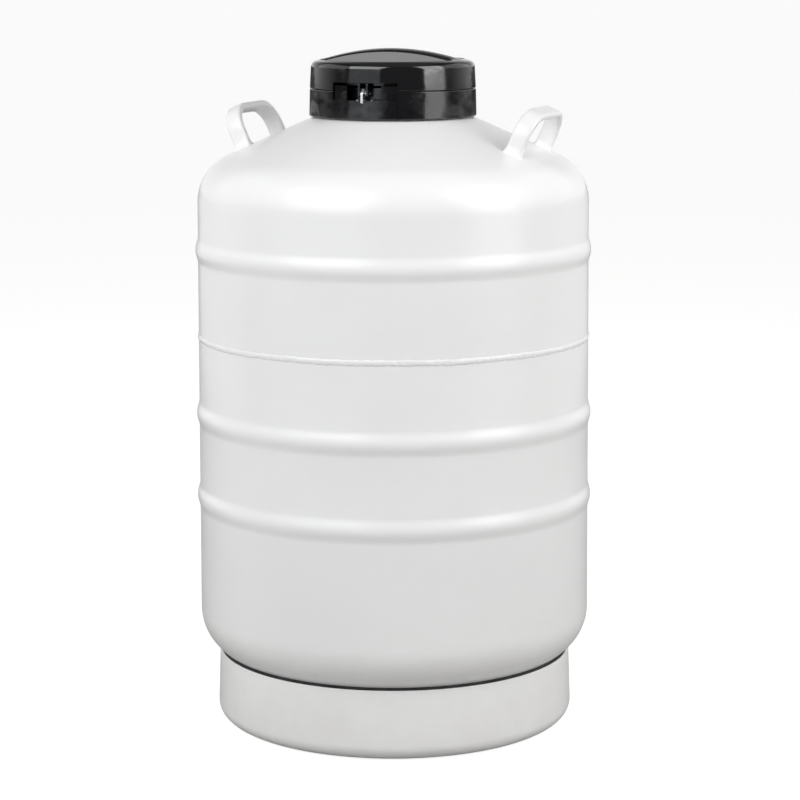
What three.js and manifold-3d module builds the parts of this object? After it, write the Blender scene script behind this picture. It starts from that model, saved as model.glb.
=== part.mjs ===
// Liquid nitrogen storage dewar: vacuum-jacketed aluminium flask with a two-part lockable lid.
// Millimetres, +Z up, origin on the floor at the centre of the base; the lock window faces -Y.
import * as THREE from 'three';
import { mergeVertices } from 'three/addons/utils/BufferGeometryUtils.js';
import Module from 'manifold-3d';

const wasm = await Module();
wasm.setup();

// ---- driving dimensions -------------------------------------------------------------------
const GAP = 0.4;                 // clearance between pieces that touch
const ROUND = 32;                // facets round a large turned piece
const NECK_ROUND = 24;           // facets round a piece of the neck
const SMALL_ROUND = 12;          // facets round a screw or rivet

// Outer jacket
const JACKET_RADIUS = 197;
const JACKET_WALL = 2.5;
const SHOULDER_SLOPE = 24;       // degrees below the horizontal
const SHOULDER_FILLET = 48;
const CONE_RADIUS = 83;          // a point on the shoulder cone: radius ...
const CONE_HEIGHT = 612;         // ... and height
const LAND_RADIUS = 66;          // flat land round the neck
const NECK_HOLE_RADIUS = 32;
const SEAM_HEIGHT = 396;
const SEAM_HALF_GAP = 1.6;
const BEAD_HEIGHTS = { upper: 483, middle: 319, lower: 233 };
const BEAD_HALF_WIDTH = 13;
const BEAD_PROUD = 2.6;
const BOTTOM_FILLET = 50;
const BOTTOM_HEIGHT = 64;
const PORT_HOLE_RADIUS = 8.3;

// Base
const BASE_TOP_RADIUS = 179.4;
const BASE_BOTTOM_RADIUS = 182;
const BASE_TOP_HEIGHT = 73.6;
const BASE_WALL = 3;
const BASE_EDGE_ROUND = 15;
const BASE_CLEAR = 1.2;          // the skirt's edge stands this far off the floor
const BASE_LIP = { outer: 168, inner: 160, top: 68, drop: 3 };
const FOOT_RING = { inner: 151, outer: 166, thick: 4.2 };

// Inner vessel, neck and insulation
const VESSEL_RADIUS = 146;
const VESSEL_WALL = 2;
const VESSEL_FILLET = 42;
const VESSEL_SLOPE = 20;
const VESSEL_TOP = 470;          // height of its cone at the neck
const VESSEL_BOTTOM = 90;
const VESSEL_SEAM = 270;
const NECK_INNER = 25;
const NECK_OUTER = 27.3;
const NECK_BOTTOM = 452;
const NECK_TOP = 628;
const BLANKET_CLEAR = 1;
const BLANKET_THICK = 10;
const BLANKET_TOP_HOLE = 36;
const BLANKET_BOTTOM_HOLE = 48;
const PACK = { radius: 44, bottom: 78 };
const NECK_FLANGE = { bottom: 600, seat: 50, thick: 2.6 };
const INDEX_RING = { radius: 47, shoulder: 629.4, crown: 44, top: 633, notch: 4.4 };

// Vacuum port under the outer jacket
const PORT = { bore: 5, tube: 8, bottom: 40, flange: 14, flangeBottom: 60.4, flangeTop: 63.6, top: 72 };
const STOPPER = { bottom: 33.6, head: 7, headTop: 39.6, shank: 4.6, top: 60 };
const CAP = { radius: 11, bore: 8.6, bottom: 30, floor: 33, top: 58 };

// Canisters
const CANISTER_COUNT = 6;
const CANISTER_CIRCLE = 43.1;
const CANISTER_RADIUS = 19;
const CANISTER_LENGTH = 120;
const CANISTER_WALL = 1.2;
const CANISTER_FLOOR = 98.4;
const CANISTER_DRAIN = 4;
const LOCATOR = { radius: 66, top: 102.6, drain: 14, clear: 0.6 };
const ROD_WIDTH = 2.4;
const ROD_RADIUS = 22.6;         // distance of the upright rod from the neck's axis
const ROD_FOOT = 150;
const HOOK_HEIGHT = 631.2;
const HOOK_BEND = 4.2;
const HOOK_REACH = 49.5;

// Handles
const HANDLE_RADIUS = 143;       // from the axis to the middle of a handle's feet
const HANDLE_HALF_SPAN = 50.5;
const HANDLE_HEIGHT = 42;
const HANDLE_STRAP = 6;
const HANDLE_WIDTH = 17;
const HANDLE_CORNER = 20;

// Lid
const COLLAR_BOTTOM = 614.4;
const COLLAR_TOP = 641.6;
const COLLAR_RADIUS = 83.3;
const LID_BOTTOM = 642.1;
const LID_BOTTOM_RADIUS = 82.6;
const LID_RIM_RADIUS = 81.2;
const LID_RIM_HEIGHT = 669;
const LID_TOP = 681;
const LID_WALL = 3;
const LID_EDGE_ROUND = 4;
const GRIP_HALF_WIDTH = 14;
const SCOOP_RADIUS = 72;
const SCOOP_FLOOR = 665.5;
const FLANGE_TOP = 623.3;        // top of the collar's inner flange
const WINDOW_HALF_ANGLE = 24;
const WINDOW_BOTTOM = 633;
const WINDOW_TOP = 650;
const SLOT_HALF_ANGLE = 12.5;    // the deep middle of the window, for a padlock
const TONGUE = { inner: 79.2, outer: 81.1, top: 648.8, clear: 0.3 };
const POCKET_BACK = 67.5;
const LINER_BOTTOM = 647;
const LINER_THICK = 2.5;
const LINER_RADIUS = 77;
const POCKET_WALL = 2.5;
const SHELF_TOP = 630.6;         // sunk, so that the staple's foot hides behind the window's sill
const SHELF_THICK = 3;
const LUG = { inner: 3, outer: 5.2, bottom: 635.6, step: 649.6, front: -81, back: -72.4 };
const LUG_BLOCK = { half: 9, front: -77.4, back: -71.6, bottom: 652.5, top: 662.1 };
const LOCK_HOLE = { y: -76.8, z: 640.2, radius: 3.2 };
const STAPLE = { foot: 10.5, front: -77.9, back: -73.2, sheet: 1.5, blade: 1.4, top: 645.2 };
const PLUG_RADIUS = 20.2;
const PLUG_BOTTOM = 470;
const PLUG_TOP = 640;

// ---- materials ----------------------------------------------------------------------------
const paint = { color: 0xeeeeec, roughness: 0.35, metalness: 0 };
const blackPlastic = { color: 0x111114, roughness: 0.18, metalness: 0 };
const aluminium = { color: 0xb9bcc0, roughness: 0.4, metalness: 1 };
const steel = { color: 0xc9ccd0, roughness: 0.28, metalness: 1 };
const glassFibre = { color: 0xb9b183, roughness: 0.55, metalness: 0 };
const foam = { color: 0xf1efe8, roughness: 0.9, metalness: 0 };
const foil = { color: 0xd7d9dc, roughness: 0.35, metalness: 1 };
const rubber = { color: 0x26262a, roughness: 0.8, metalness: 0 };

// ---- geometry helpers ---------------------------------------------------------------------
const radians = THREE.MathUtils.degToRad;

function signedVolume(position, index) {
  const [a, b, c] = [new THREE.Vector3(), new THREE.Vector3(), new THREE.Vector3()];
  let volume = 0;
  for (let i = 0; i < index.length; i += 3) {
    a.fromBufferAttribute(position, index[i]);
    b.fromBufferAttribute(position, index[i + 1]);
    c.fromBufferAttribute(position, index[i + 2]);
    volume += a.dot(b.cross(c)) / 6;
  }
  return volume;
}

// Merges shared vertices, drops collapsed faces and turns the faces outward.
function closed(geometry) {
  const bare = geometry.clone();
  bare.deleteAttribute('normal');
  bare.deleteAttribute('uv');
  const merged = mergeVertices(bare, 1e-4);
  const source = merged.index.array;
  let index = [];
  for (let i = 0; i < source.length; i += 3) {
    const [a, b, c] = [source[i], source[i + 1], source[i + 2]];
    if (a !== b && b !== c && c !== a) {
      index.push(a, b, c);
    }
  }
  if (signedVolume(merged.attributes.position, index) < 0) {
    index = index.reverse();
  }
  merged.setIndex(index);
  return merged;
}

function solid(geometry) {
  const merged = closed(geometry);
  return new wasm.Manifold(new wasm.Mesh({
    numProp: 3,
    vertProperties: new Float32Array(merged.attributes.position.array),
    triVerts: new Uint32Array(merged.index.array),
  }));
}

function geometryOf(manifold) {
  const mesh = manifold.getMesh();
  const geometry = new THREE.BufferGeometry();
  geometry.setAttribute('position', new THREE.BufferAttribute(mesh.vertProperties, 3));
  geometry.setIndex(new THREE.BufferAttribute(mesh.triVerts, 1));
  return geometry;
}

function cut(body, ...tools) {
  return tools.reduce((left, tool) => left.subtract(tool), body);
}

function join(body, ...pieces) {
  return pieces.reduce((whole, piece) => whole.add(piece), body);
}

// Turns a closed [radius, height] outline round the Z axis.
function revolve(outline, facets = ROUND) {
  const points = outline.map(([radius, height]) => new THREE.Vector2(radius, height));
  points.push(points[0].clone());
  return closed(new THREE.LatheGeometry(points, facets).rotateX(Math.PI / 2));
}

function disc(radius, low, high, facets = SMALL_ROUND) {
  return revolve([[0, low], [radius, low], [radius, high], [0, high]], facets);
}

function ring(inner, outer, low, high, facets = ROUND) {
  return revolve([[inner, low], [outer, low], [outer, high], [inner, high]], facets);
}

function arc(centreRadius, centreHeight, radius, from, to, steps) {
  return Array.from({ length: steps + 1 }, (_, i) => {
    const angle = radians(from + (to - from) * i / steps);
    return [centreRadius + radius * Math.cos(angle), centreHeight + radius * Math.sin(angle)];
  });
}

// A box from its lowest to its highest corner.
function block([x0, y0, z0], [x1, y1, z1]) {
  const geometry = new THREE.BoxGeometry(x1 - x0, y1 - y0, z1 - z0);
  return geometry.translate((x0 + x1) / 2, (y0 + y1) / 2, (z0 + z1) / 2);
}

// Part of a ring, between two angles counted from the front (-Y), positive towards +X.
function sector(inner, outer, from, to, low, high) {
  const [start, end] = [radians(from - 90), radians(to - 90)];
  const shape = new THREE.Shape();
  shape.absarc(0, 0, outer, start, end, false);
  shape.absarc(0, 0, inner, end, start, true);
  shape.closePath();
  const geometry = new THREE.ExtrudeGeometry(shape, {
    depth: high - low, bevelEnabled: false, curveSegments: 8,
  });
  return geometry.translate(0, 0, low);
}

// Height of the tangent point between a cone through (radius, height) and an upright wall.
function filletHeight(coneRadius, coneHeight, slope, wallRadius, fillet) {
  const angle = radians(slope);
  const tangentRadius = wallRadius - fillet * (1 - Math.sin(angle));
  const tangentHeight = coneHeight - (tangentRadius - coneRadius) * Math.tan(angle);
  return tangentHeight - fillet * Math.cos(angle);
}

function coneHeightAt(radius) {
  return CONE_HEIGHT - (radius - CONE_RADIUS) * Math.tan(radians(SHOULDER_SLOPE));
}

// ---- outer jacket -------------------------------------------------------------------------
const WALL_TOP = filletHeight(
  CONE_RADIUS, CONE_HEIGHT, SHOULDER_SLOPE, JACKET_RADIUS, SHOULDER_FILLET);
const LAND_HEIGHT = coneHeightAt(LAND_RADIUS);
const FILLET_CENTRE = JACKET_RADIUS - SHOULDER_FILLET;

// A smooth rolled bead, listed from its upper edge down.
function bead(height) {
  const steps = 4;
  return Array.from({ length: steps + 1 }, (_, i) => {
    const u = 2 * i / steps - 1;
    return [JACKET_RADIUS + BEAD_PROUD * (1 - u * u) ** 2, height - u * BEAD_HALF_WIDTH];
  });
}

function outerShellUpper() {
  const inside = JACKET_RADIUS - JACKET_WALL;
  const edge = SEAM_HEIGHT + SEAM_HALF_GAP;
  return revolve([
    [NECK_HOLE_RADIUS, LAND_HEIGHT],
    [LAND_RADIUS, LAND_HEIGHT],
    ...arc(FILLET_CENTRE, WALL_TOP, SHOULDER_FILLET, 90 - SHOULDER_SLOPE, 0, 5),
    ...bead(BEAD_HEIGHTS.upper),
    [JACKET_RADIUS, edge],
    [inside, edge],
    ...arc(FILLET_CENTRE, WALL_TOP, SHOULDER_FILLET - JACKET_WALL, 0, 90 - SHOULDER_SLOPE, 3),
    [LAND_RADIUS - 0.5, LAND_HEIGHT - JACKET_WALL],
    [NECK_HOLE_RADIUS, LAND_HEIGHT - JACKET_WALL],
  ]);
}

function outerShellLower() {
  const inside = JACKET_RADIUS - JACKET_WALL;
  const edge = SEAM_HEIGHT - SEAM_HALF_GAP;
  const centre = JACKET_RADIUS - BOTTOM_FILLET;
  const corner = BOTTOM_HEIGHT + BOTTOM_FILLET;
  return revolve([
    [inside, edge],
    [JACKET_RADIUS, edge],
    ...bead(BEAD_HEIGHTS.middle),
    ...bead(BEAD_HEIGHTS.lower),
    ...arc(centre, corner, BOTTOM_FILLET, 0, -90, 5),
    [PORT_HOLE_RADIUS, BOTTOM_HEIGHT],
    [PORT_HOLE_RADIUS, BOTTOM_HEIGHT + JACKET_WALL],
    ...arc(centre, corner, BOTTOM_FILLET - JACKET_WALL, -90, 0, 3),
  ]);
}

// The bead fills the butt between the halves and caps it on the outside.
function shellSeamWeld() {
  const root = SEAM_HALF_GAP - 0.3;
  const cap = 2.8;
  const crest = 1.2;
  const skin = JACKET_RADIUS + 0.35;
  const top = JACKET_RADIUS + 1.3;
  return revolve([
    [JACKET_RADIUS - JACKET_WALL, -root], [skin, -root], [skin, -cap], [top, -crest],
    [top, crest], [skin, cap], [skin, root], [JACKET_RADIUS - JACKET_WALL, root],
  ].map(([radius, z]) => [radius, SEAM_HEIGHT + z]));
}

// ---- base ---------------------------------------------------------------------------------
function baseRing() {
  const corner = BASE_BOTTOM_RADIUS - BASE_EDGE_ROUND;
  const centre = BASE_CLEAR + BASE_EDGE_ROUND;
  const flange = FOOT_RING.thick + GAP;
  const inner = FOOT_RING.inner - 3;
  return revolve([
    [inner, flange],
    [corner - 0.6, flange],
    [corner - 0.6, BASE_CLEAR],
    ...arc(corner, centre, BASE_EDGE_ROUND, -90, 0, 4),
    [BASE_TOP_RADIUS, BASE_TOP_HEIGHT],
    [BASE_TOP_RADIUS - BASE_WALL, BASE_TOP_HEIGHT - 0.9],
    [BASE_LIP.outer, BASE_LIP.top],
    [BASE_LIP.inner, BASE_LIP.top - BASE_LIP.drop],
    [BASE_LIP.inner, BASE_LIP.top - 2 * BASE_LIP.drop],
    [BASE_LIP.outer, BASE_LIP.top - BASE_LIP.drop],
    [BASE_TOP_RADIUS - BASE_WALL, BASE_TOP_HEIGHT - 4],
    [BASE_BOTTOM_RADIUS - BASE_WALL, centre],
    ...arc(corner, centre, BASE_EDGE_ROUND - BASE_WALL, 0, -40, 2).slice(1),
    [inner, flange + BASE_WALL],
  ]);
}

// ---- inner vessel -------------------------------------------------------------------------
// The vessel's outline moved outward by an offset, from the neck to the seam and on to the floor.
function vesselTop(offset, startRadius, steps) {
  const angle = radians(VESSEL_SLOPE);
  const wall = VESSEL_RADIUS + offset;
  const fillet = VESSEL_FILLET + offset;
  const lift = offset / Math.cos(angle);
  const centre = filletHeight(NECK_OUTER, VESSEL_TOP + lift, VESSEL_SLOPE, wall, fillet);
  return [
    [startRadius, VESSEL_TOP + lift - (startRadius - NECK_OUTER) * Math.tan(angle)],
    ...arc(wall - fillet, centre, fillet, 90 - VESSEL_SLOPE, 0, steps),
  ];
}

function vesselBottom(offset, endRadius, steps) {
  const centre = VESSEL_BOTTOM + VESSEL_FILLET;
  return [
    ...arc(VESSEL_RADIUS - VESSEL_FILLET, centre, VESSEL_FILLET + offset, 0, -90, steps),
    [endRadius, VESSEL_BOTTOM - offset],
  ];
}

function innerVesselUpper() {
  const bore = NECK_OUTER + GAP;
  const stand = bore + 2.5;
  const edge = VESSEL_SEAM + GAP / 2;
  return revolve([
    [bore, VESSEL_TOP + 12],
    [stand, VESSEL_TOP + 12],
    ...vesselTop(0, stand, 3),
    [VESSEL_RADIUS, edge],
    [VESSEL_RADIUS - VESSEL_WALL, edge],
    ...vesselTop(-VESSEL_WALL, bore, 3).reverse(),
  ]);
}

function innerVesselLower() {
  const edge = VESSEL_SEAM - GAP / 2;
  return revolve([
    [VESSEL_RADIUS - VESSEL_WALL, edge],
    [VESSEL_RADIUS, edge],
    ...vesselBottom(0, 0, 3),
    ...vesselBottom(-VESSEL_WALL, 0, 3).reverse(),
  ]);
}

function insulationBlanket() {
  const outer = BLANKET_CLEAR + BLANKET_THICK;
  return revolve([
    ...vesselTop(outer, BLANKET_TOP_HOLE, 3),
    ...vesselBottom(outer, BLANKET_BOTTOM_HOLE, 3),
    ...vesselBottom(BLANKET_CLEAR, BLANKET_BOTTOM_HOLE, 3).reverse(),
    ...vesselTop(BLANKET_CLEAR, BLANKET_TOP_HOLE, 3).reverse(),
  ]);
}

function neckFlange() {
  const bore = NECK_OUTER + GAP / 2 + 0.1;
  const sleeve = NECK_HOLE_RADIUS - GAP;
  const seat = LAND_HEIGHT + GAP;
  const top = seat + NECK_FLANGE.thick;
  return revolve([
    [bore, NECK_FLANGE.bottom], [sleeve, NECK_FLANGE.bottom], [sleeve, seat],
    [NECK_FLANGE.seat, seat], [NECK_FLANGE.seat, top], [sleeve, top], [sleeve, NECK_TOP],
    [bore, NECK_TOP],
  ], NECK_ROUND);
}

// Ring round the mouth, with one radial notch for each canister's hook.
function canisterIndexRing() {
  const seat = LAND_HEIGHT + GAP + NECK_FLANGE.thick + GAP;
  const bore = NECK_HOLE_RADIUS + 0.1;
  const mouth = NECK_INNER + 0.9;
  const blank = solid(revolve([
    [bore, seat], [INDEX_RING.radius, seat], [INDEX_RING.radius, INDEX_RING.shoulder],
    [INDEX_RING.crown, INDEX_RING.top], [mouth, INDEX_RING.top], [mouth, NECK_TOP + GAP],
    [bore, NECK_TOP + GAP],
  ], NECK_ROUND));
  const floor = HOOK_HEIGHT - ROD_WIDTH / 2 - GAP;
  const half = INDEX_RING.notch / 2;
  const notches = canisterAngles().map((angle) => solid(
    block([20, -half, floor], [INDEX_RING.radius + 3, half, INDEX_RING.top + 3]).rotateZ(angle)));
  return geometryOf(cut(blank, ...notches));
}

// ---- canisters ----------------------------------------------------------------------------
function canisterAngles() {
  return Array.from({ length: CANISTER_COUNT }, (_, i) =>
    radians(30 + 360 * i / CANISTER_COUNT));
}

function canisterLocator() {
  const base = VESSEL_BOTTOM + VESSEL_WALL + GAP;
  const plate = solid(disc(LOCATOR.radius, base, LOCATOR.top, NECK_ROUND));
  const above = LOCATOR.top + 5;
  const pockets = canisterAngles().map((angle) =>
    solid(disc(CANISTER_RADIUS + LOCATOR.clear, CANISTER_FLOOR - GAP, above, 16)
      .translate(CANISTER_CIRCLE, 0, 0).rotateZ(angle)));
  const drain = solid(disc(LOCATOR.drain, VESSEL_BOTTOM, above, 12));
  return geometryOf(cut(plate, drain, ...pockets));
}

function canisterCup() {
  const inner = CANISTER_RADIUS - CANISTER_WALL;
  const top = CANISTER_FLOOR + CANISTER_LENGTH;
  const floor = CANISTER_FLOOR + CANISTER_WALL;
  return revolve([
    [CANISTER_DRAIN, CANISTER_FLOOR], [CANISTER_RADIUS, CANISTER_FLOOR],
    [CANISTER_RADIUS, top], [inner, top], [inner, floor], [CANISTER_DRAIN, floor],
  ], 16).translate(CANISTER_CIRCLE, 0, 0);
}

// Upright bar that bends over the mouth and turns down outside the index ring.
function canisterRod() {
  const half = ROD_WIDTH / 2;
  const bend = HOOK_HEIGHT - HOOK_BEND;
  const first = ROD_RADIUS + HOOK_BEND;
  const last = HOOK_REACH - HOOK_BEND;
  const outline = new THREE.Shape();
  outline.moveTo(ROD_RADIUS - half, ROD_FOOT);
  outline.lineTo(ROD_RADIUS - half, bend);
  outline.absarc(first, bend, HOOK_BEND + half, Math.PI, Math.PI / 2, true);
  outline.absarc(last, bend, HOOK_BEND + half, Math.PI / 2, 0, true);
  outline.lineTo(HOOK_REACH + half, bend - 1);
  outline.lineTo(HOOK_REACH - half, bend - 1);
  outline.absarc(last, bend, HOOK_BEND - half, 0, Math.PI / 2, false);
  outline.absarc(first, bend, HOOK_BEND - half, Math.PI / 2, Math.PI, false);
  outline.lineTo(ROD_RADIUS - half, ROD_FOOT);
  const geometry = new THREE.ExtrudeGeometry(outline, {
    depth: ROD_WIDTH, bevelEnabled: false, curveSegments: 4,
  });
  return closed(geometry.translate(0, 0, -half).rotateX(Math.PI / 2));
}

// ---- handles ------------------------------------------------------------------------------
// Strap loop that stands square to the shoulder cone, with its feet cut to the cone.
function handle() {
  const loop = (half, top, corner, foot) => {
    const shape = new THREE.Shape();
    shape.moveTo(-half, foot);
    shape.lineTo(half, foot);
    shape.lineTo(half, top - corner);
    shape.absarc(half - corner, top - corner, corner, 0, Math.PI / 2, false);
    shape.absarc(-half + corner, top - corner, corner, Math.PI / 2, Math.PI, false);
    shape.closePath();
    return shape;
  };
  const bar = (shape, width) => new THREE.ExtrudeGeometry(shape, {
    depth: width, bevelEnabled: false, curveSegments: 5,
  }).translate(0, 0, -width / 2);
  const outer = bar(loop(HANDLE_HALF_SPAN, HANDLE_HEIGHT, HANDLE_CORNER, -12), HANDLE_WIDTH);
  const inner = bar(loop(HANDLE_HALF_SPAN - HANDLE_STRAP, HANDLE_HEIGHT - HANDLE_STRAP,
    HANDLE_CORNER - HANDLE_STRAP, -20), HANDLE_WIDTH + 4);
  const slope = radians(SHOULDER_SLOPE);
  const stand = new THREE.Matrix4().makeBasis(
    new THREE.Vector3(0, 1, 0),
    new THREE.Vector3(Math.sin(slope), 0, Math.cos(slope)),
    new THREE.Vector3(Math.cos(slope), 0, -Math.sin(slope)));
  stand.setPosition(HANDLE_RADIUS, 0, coneHeightAt(HANDLE_RADIUS));
  const strap = cut(solid(outer), solid(inner));
  const placed = solid(geometryOf(strap).applyMatrix4(stand));
  const lift = GAP / Math.cos(slope);
  const shoulder = solid(revolve([
    [0, 500], [190, 500], [190, coneHeightAt(190) + lift], [60, coneHeightAt(60) + lift],
    [0, coneHeightAt(60) + lift],
  ], 72));
  return geometryOf(cut(placed, shoulder));
}

// ---- lid ----------------------------------------------------------------------------------
function lockHole() {
  const drill = disc(LOCK_HOLE.radius, -20, 20, SMALL_ROUND).rotateY(Math.PI / 2);
  return solid(drill.translate(0, LOCK_HOLE.y, LOCK_HOLE.z));
}

const collarScrewSpots = [45, 135, 225, 315].map((angle) =>
  [58 * Math.cos(radians(angle)), 58 * Math.sin(radians(angle))]);
const linerScrewSpots = [90, 210, 330].map((angle) =>
  [60 * Math.cos(radians(angle)), 60 * Math.sin(radians(angle))]);
const rivetSpots = [[-7.6, -75.6], [7.6, -75.6]];

function drill(radius, low, high, [x, y]) {
  return solid(disc(radius, low, high).translate(x, y, 0));
}

// Ring with a step round the window, and two tongues that stand up into the lid's notch.
function lockCollar() {
  const wall = COLLAR_RADIUS - LID_WALL - 1.1;
  const seat = LAND_HEIGHT + GAP + 0.1;
  const half = WINDOW_HALF_ANGLE;
  const ringBody = solid(revolve([
    [51, seat], [wall + 0.4, seat], [wall + 0.7, COLLAR_BOTTOM], [COLLAR_RADIUS, COLLAR_BOTTOM],
    [LID_BOTTOM_RADIUS, COLLAR_TOP], [wall, COLLAR_TOP], [wall, FLANGE_TOP], [51, FLANGE_TOP],
  ]));
  const slotHalf = SLOT_HALF_ANGLE;
  const slot = solid(sector(wall - 1, 90, -slotHalf, slotHalf, WINDOW_BOTTOM, COLLAR_TOP + 2));
  const step = solid(sector(TONGUE.outer, 90, -half, half, WINDOW_BOTTOM, COLLAR_TOP + 2));
  const end = half - TONGUE.clear;
  const tongues = [[-end, -slotHalf], [slotHalf, end]].map(([from, to]) =>
    solid(sector(TONGUE.inner, TONGUE.outer, from, to, WINDOW_BOTTOM - 3, TONGUE.top)));
  const holes = collarScrewSpots.map((spot) => drill(2.4, 600, 640, spot));
  return geometryOf(cut(join(cut(ringBody, slot, step), ...tongues), ...holes));
}

// Tray behind the window: a back wall, a shelf for the staple and two cheeks.
function lockPocket() {
  const front = COLLAR_RADIUS - LID_WALL - 1.1 - GAP;
  const half = WINDOW_HALF_ANGLE;
  const cheek = half + 2;
  const low = FLANGE_TOP + GAP;
  const cheekTop = COLLAR_TOP - 0.2;
  const back = solid(sector(POCKET_BACK, POCKET_BACK + POCKET_WALL, -cheek, cheek, low, 644.5));
  const rest = [
    sector(POCKET_BACK, front, -cheek, cheek, SHELF_TOP - SHELF_THICK, SHELF_TOP),
    sector(POCKET_BACK, front, -cheek, -half, low, cheekTop),
    sector(POCKET_BACK, front, half, cheek, low, cheekTop),
  ].map(solid);
  const holes = rivetSpots.map((spot) => drill(1.4, 624, 640, spot));
  return geometryOf(cut(join(back, ...rest), ...holes));
}

// Block under the lid's crown with two lugs that straddle the staple.
function lockLugBlock() {
  const body = solid(block(
    [-LUG_BLOCK.half, LUG_BLOCK.front, LUG_BLOCK.bottom],
    [LUG_BLOCK.half, LUG_BLOCK.back, LUG_BLOCK.top]));
  const lugs = [[-LUG.outer, -LUG.inner], [LUG.inner, LUG.outer]].flatMap(([left, right]) => [
    block([left, LUG.front, LUG.bottom], [right, LUG.back, LUG.step]),
    block([left, LUG_BLOCK.front, LUG.step - 1], [right, LUG.back, LUG_BLOCK.bottom + 1]),
  ].map(solid));
  return geometryOf(cut(join(body, ...lugs), lockHole()));
}

function domeHeight(radius, top, rimRadius, rimHeight) {
  return top - (top - rimHeight) * (radius / rimRadius) ** 2;
}

// A finger scoop's plan, in front of the grip bar: a round segment grown by an offset.
function scoop(offset, low, side) {
  const radius = SCOOP_RADIUS + offset;
  const line = GRIP_HALF_WIDTH - offset;
  const reach = Math.asin(line / radius);
  const plan = new THREE.Shape();
  plan.absarc(0, 0, radius, reach, Math.PI - reach, false);
  plan.closePath();
  const geometry = new THREE.ExtrudeGeometry(plan, {
    depth: 60, bevelEnabled: false, curveSegments: 9,
  }).translate(0, 0, low);
  return solid(side > 0 ? geometry : geometry.rotateZ(Math.PI));
}

function lidCover() {
  const rim = LID_RIM_RADIUS - LID_EDGE_ROUND;
  const edgeCentre = LID_RIM_HEIGHT - LID_EDGE_ROUND;
  const crown = [0.75, 0.5, 0.25, 0].map((part) =>
    [rim * part, domeHeight(rim * part, LID_TOP, rim, LID_RIM_HEIGHT)]);
  const outside = solid(revolve([
    [0, LID_BOTTOM], [LID_BOTTOM_RADIUS, LID_BOTTOM], [LID_RIM_RADIUS, edgeCentre],
    ...arc(rim, edgeCentre, LID_EDGE_ROUND, 0, 90, 3).slice(1),
    ...crown,
  ]));
  const inside = solid(revolve([
    [0, LID_BOTTOM - 5], [LID_BOTTOM_RADIUS - LID_WALL, LID_BOTTOM - 5],
    [LID_BOTTOM_RADIUS - LID_WALL, LID_BOTTOM], [LID_RIM_RADIUS - LID_WALL, edgeCentre - 2],
    ...crown.map(([radius, height]) => [radius, height - LID_WALL]),
  ]));
  const sides = [-1, 1];
  const scoops = sides.map((side) => scoop(0, SCOOP_FLOOR, side));
  const tubs = sides.map((side) => scoop(LID_WALL, SCOOP_FLOOR - LID_WALL, side));
  const bosses = linerScrewSpots.map(([x, y]) =>
    solid(disc(4.5, LINER_BOTTOM + LINER_THICK + GAP, SCOOP_FLOOR - 1).translate(x, y, 0)));
  const half = WINDOW_HALF_ANGLE;
  const window = solid(sector(70, 90, -half, half, LID_BOTTOM - 2, WINDOW_TOP));
  const shell = cut(cut(outside, ...scoops), cut(inside, ...tubs));
  const holes = linerScrewSpots.map((spot) => drill(1.7, 640, 660, spot));
  return geometryOf(cut(join(cut(shell, window), ...bosses), ...holes));
}

function lidLiner() {
  const rim = LINER_RADIUS - LINER_THICK - 1;
  const top = LINER_BOTTOM + LINER_THICK;
  const dish = solid(revolve([
    [0, LINER_BOTTOM], [rim, LINER_BOTTOM], [rim, 630], [LINER_RADIUS, 630],
    [LINER_RADIUS, top], [0, top],
  ]));
  const half = WINDOW_HALF_ANGLE + 4;
  const notch = solid(sector(POCKET_BACK + 3.2, 90, -half, half, 620, 660));
  const deepNotch = solid(sector(60, 90, -half, half, 620, LINER_BOTTOM - 0.1));
  const holes = [
    drill(2.4, 640, 660, [0, 0]),
    ...linerScrewSpots.map((spot) => drill(1.7, 640, 660, spot)),
  ];
  return geometryOf(cut(dish, notch, deepNotch, ...holes));
}

// Foot on the shelf, and an upright blade that steps over the window's sill.
function lockStaple() {
  const seat = SHELF_TOP + GAP;
  const sill = WINDOW_BOTTOM + GAP;
  const foot = solid(block(
    [-STAPLE.foot, STAPLE.front, seat], [STAPLE.foot, STAPLE.back, seat + STAPLE.sheet]));
  const stem = solid(block(
    [-STAPLE.blade, STAPLE.front, seat], [STAPLE.blade, LUG.back, STAPLE.top]));
  const blade = solid(block(
    [-STAPLE.blade, LUG.front, sill], [STAPLE.blade, LUG.back, STAPLE.top]));
  const holes = rivetSpots.map((spot) => drill(1.4, 630, 640, spot));
  return geometryOf(cut(join(foot, stem, blade), lockHole(), ...holes));
}

// A turned fastener: a head at the given height with its shank above or below it.
function fastener(headRadius, headLow, headHigh, shankRadius, shankEnd) {
  const below = shankEnd < headLow;
  return revolve(below
    ? [[0, shankEnd], [shankRadius, shankEnd], [shankRadius, headLow], [headRadius, headLow],
      [headRadius, headHigh], [0, headHigh]]
    : [[0, headLow], [headRadius, headLow], [headRadius, headHigh], [shankRadius, headHigh],
      [shankRadius, shankEnd], [0, shankEnd]], SMALL_ROUND);
}

// ---- assembly -----------------------------------------------------------------------------
const dewar = new THREE.Group();

function place(name, geometry, look, parent = dewar) {
  const mesh = new THREE.Mesh(geometry, new THREE.MeshStandardMaterial(look));
  mesh.name = name;
  parent.add(mesh);
  return mesh;
}

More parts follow.
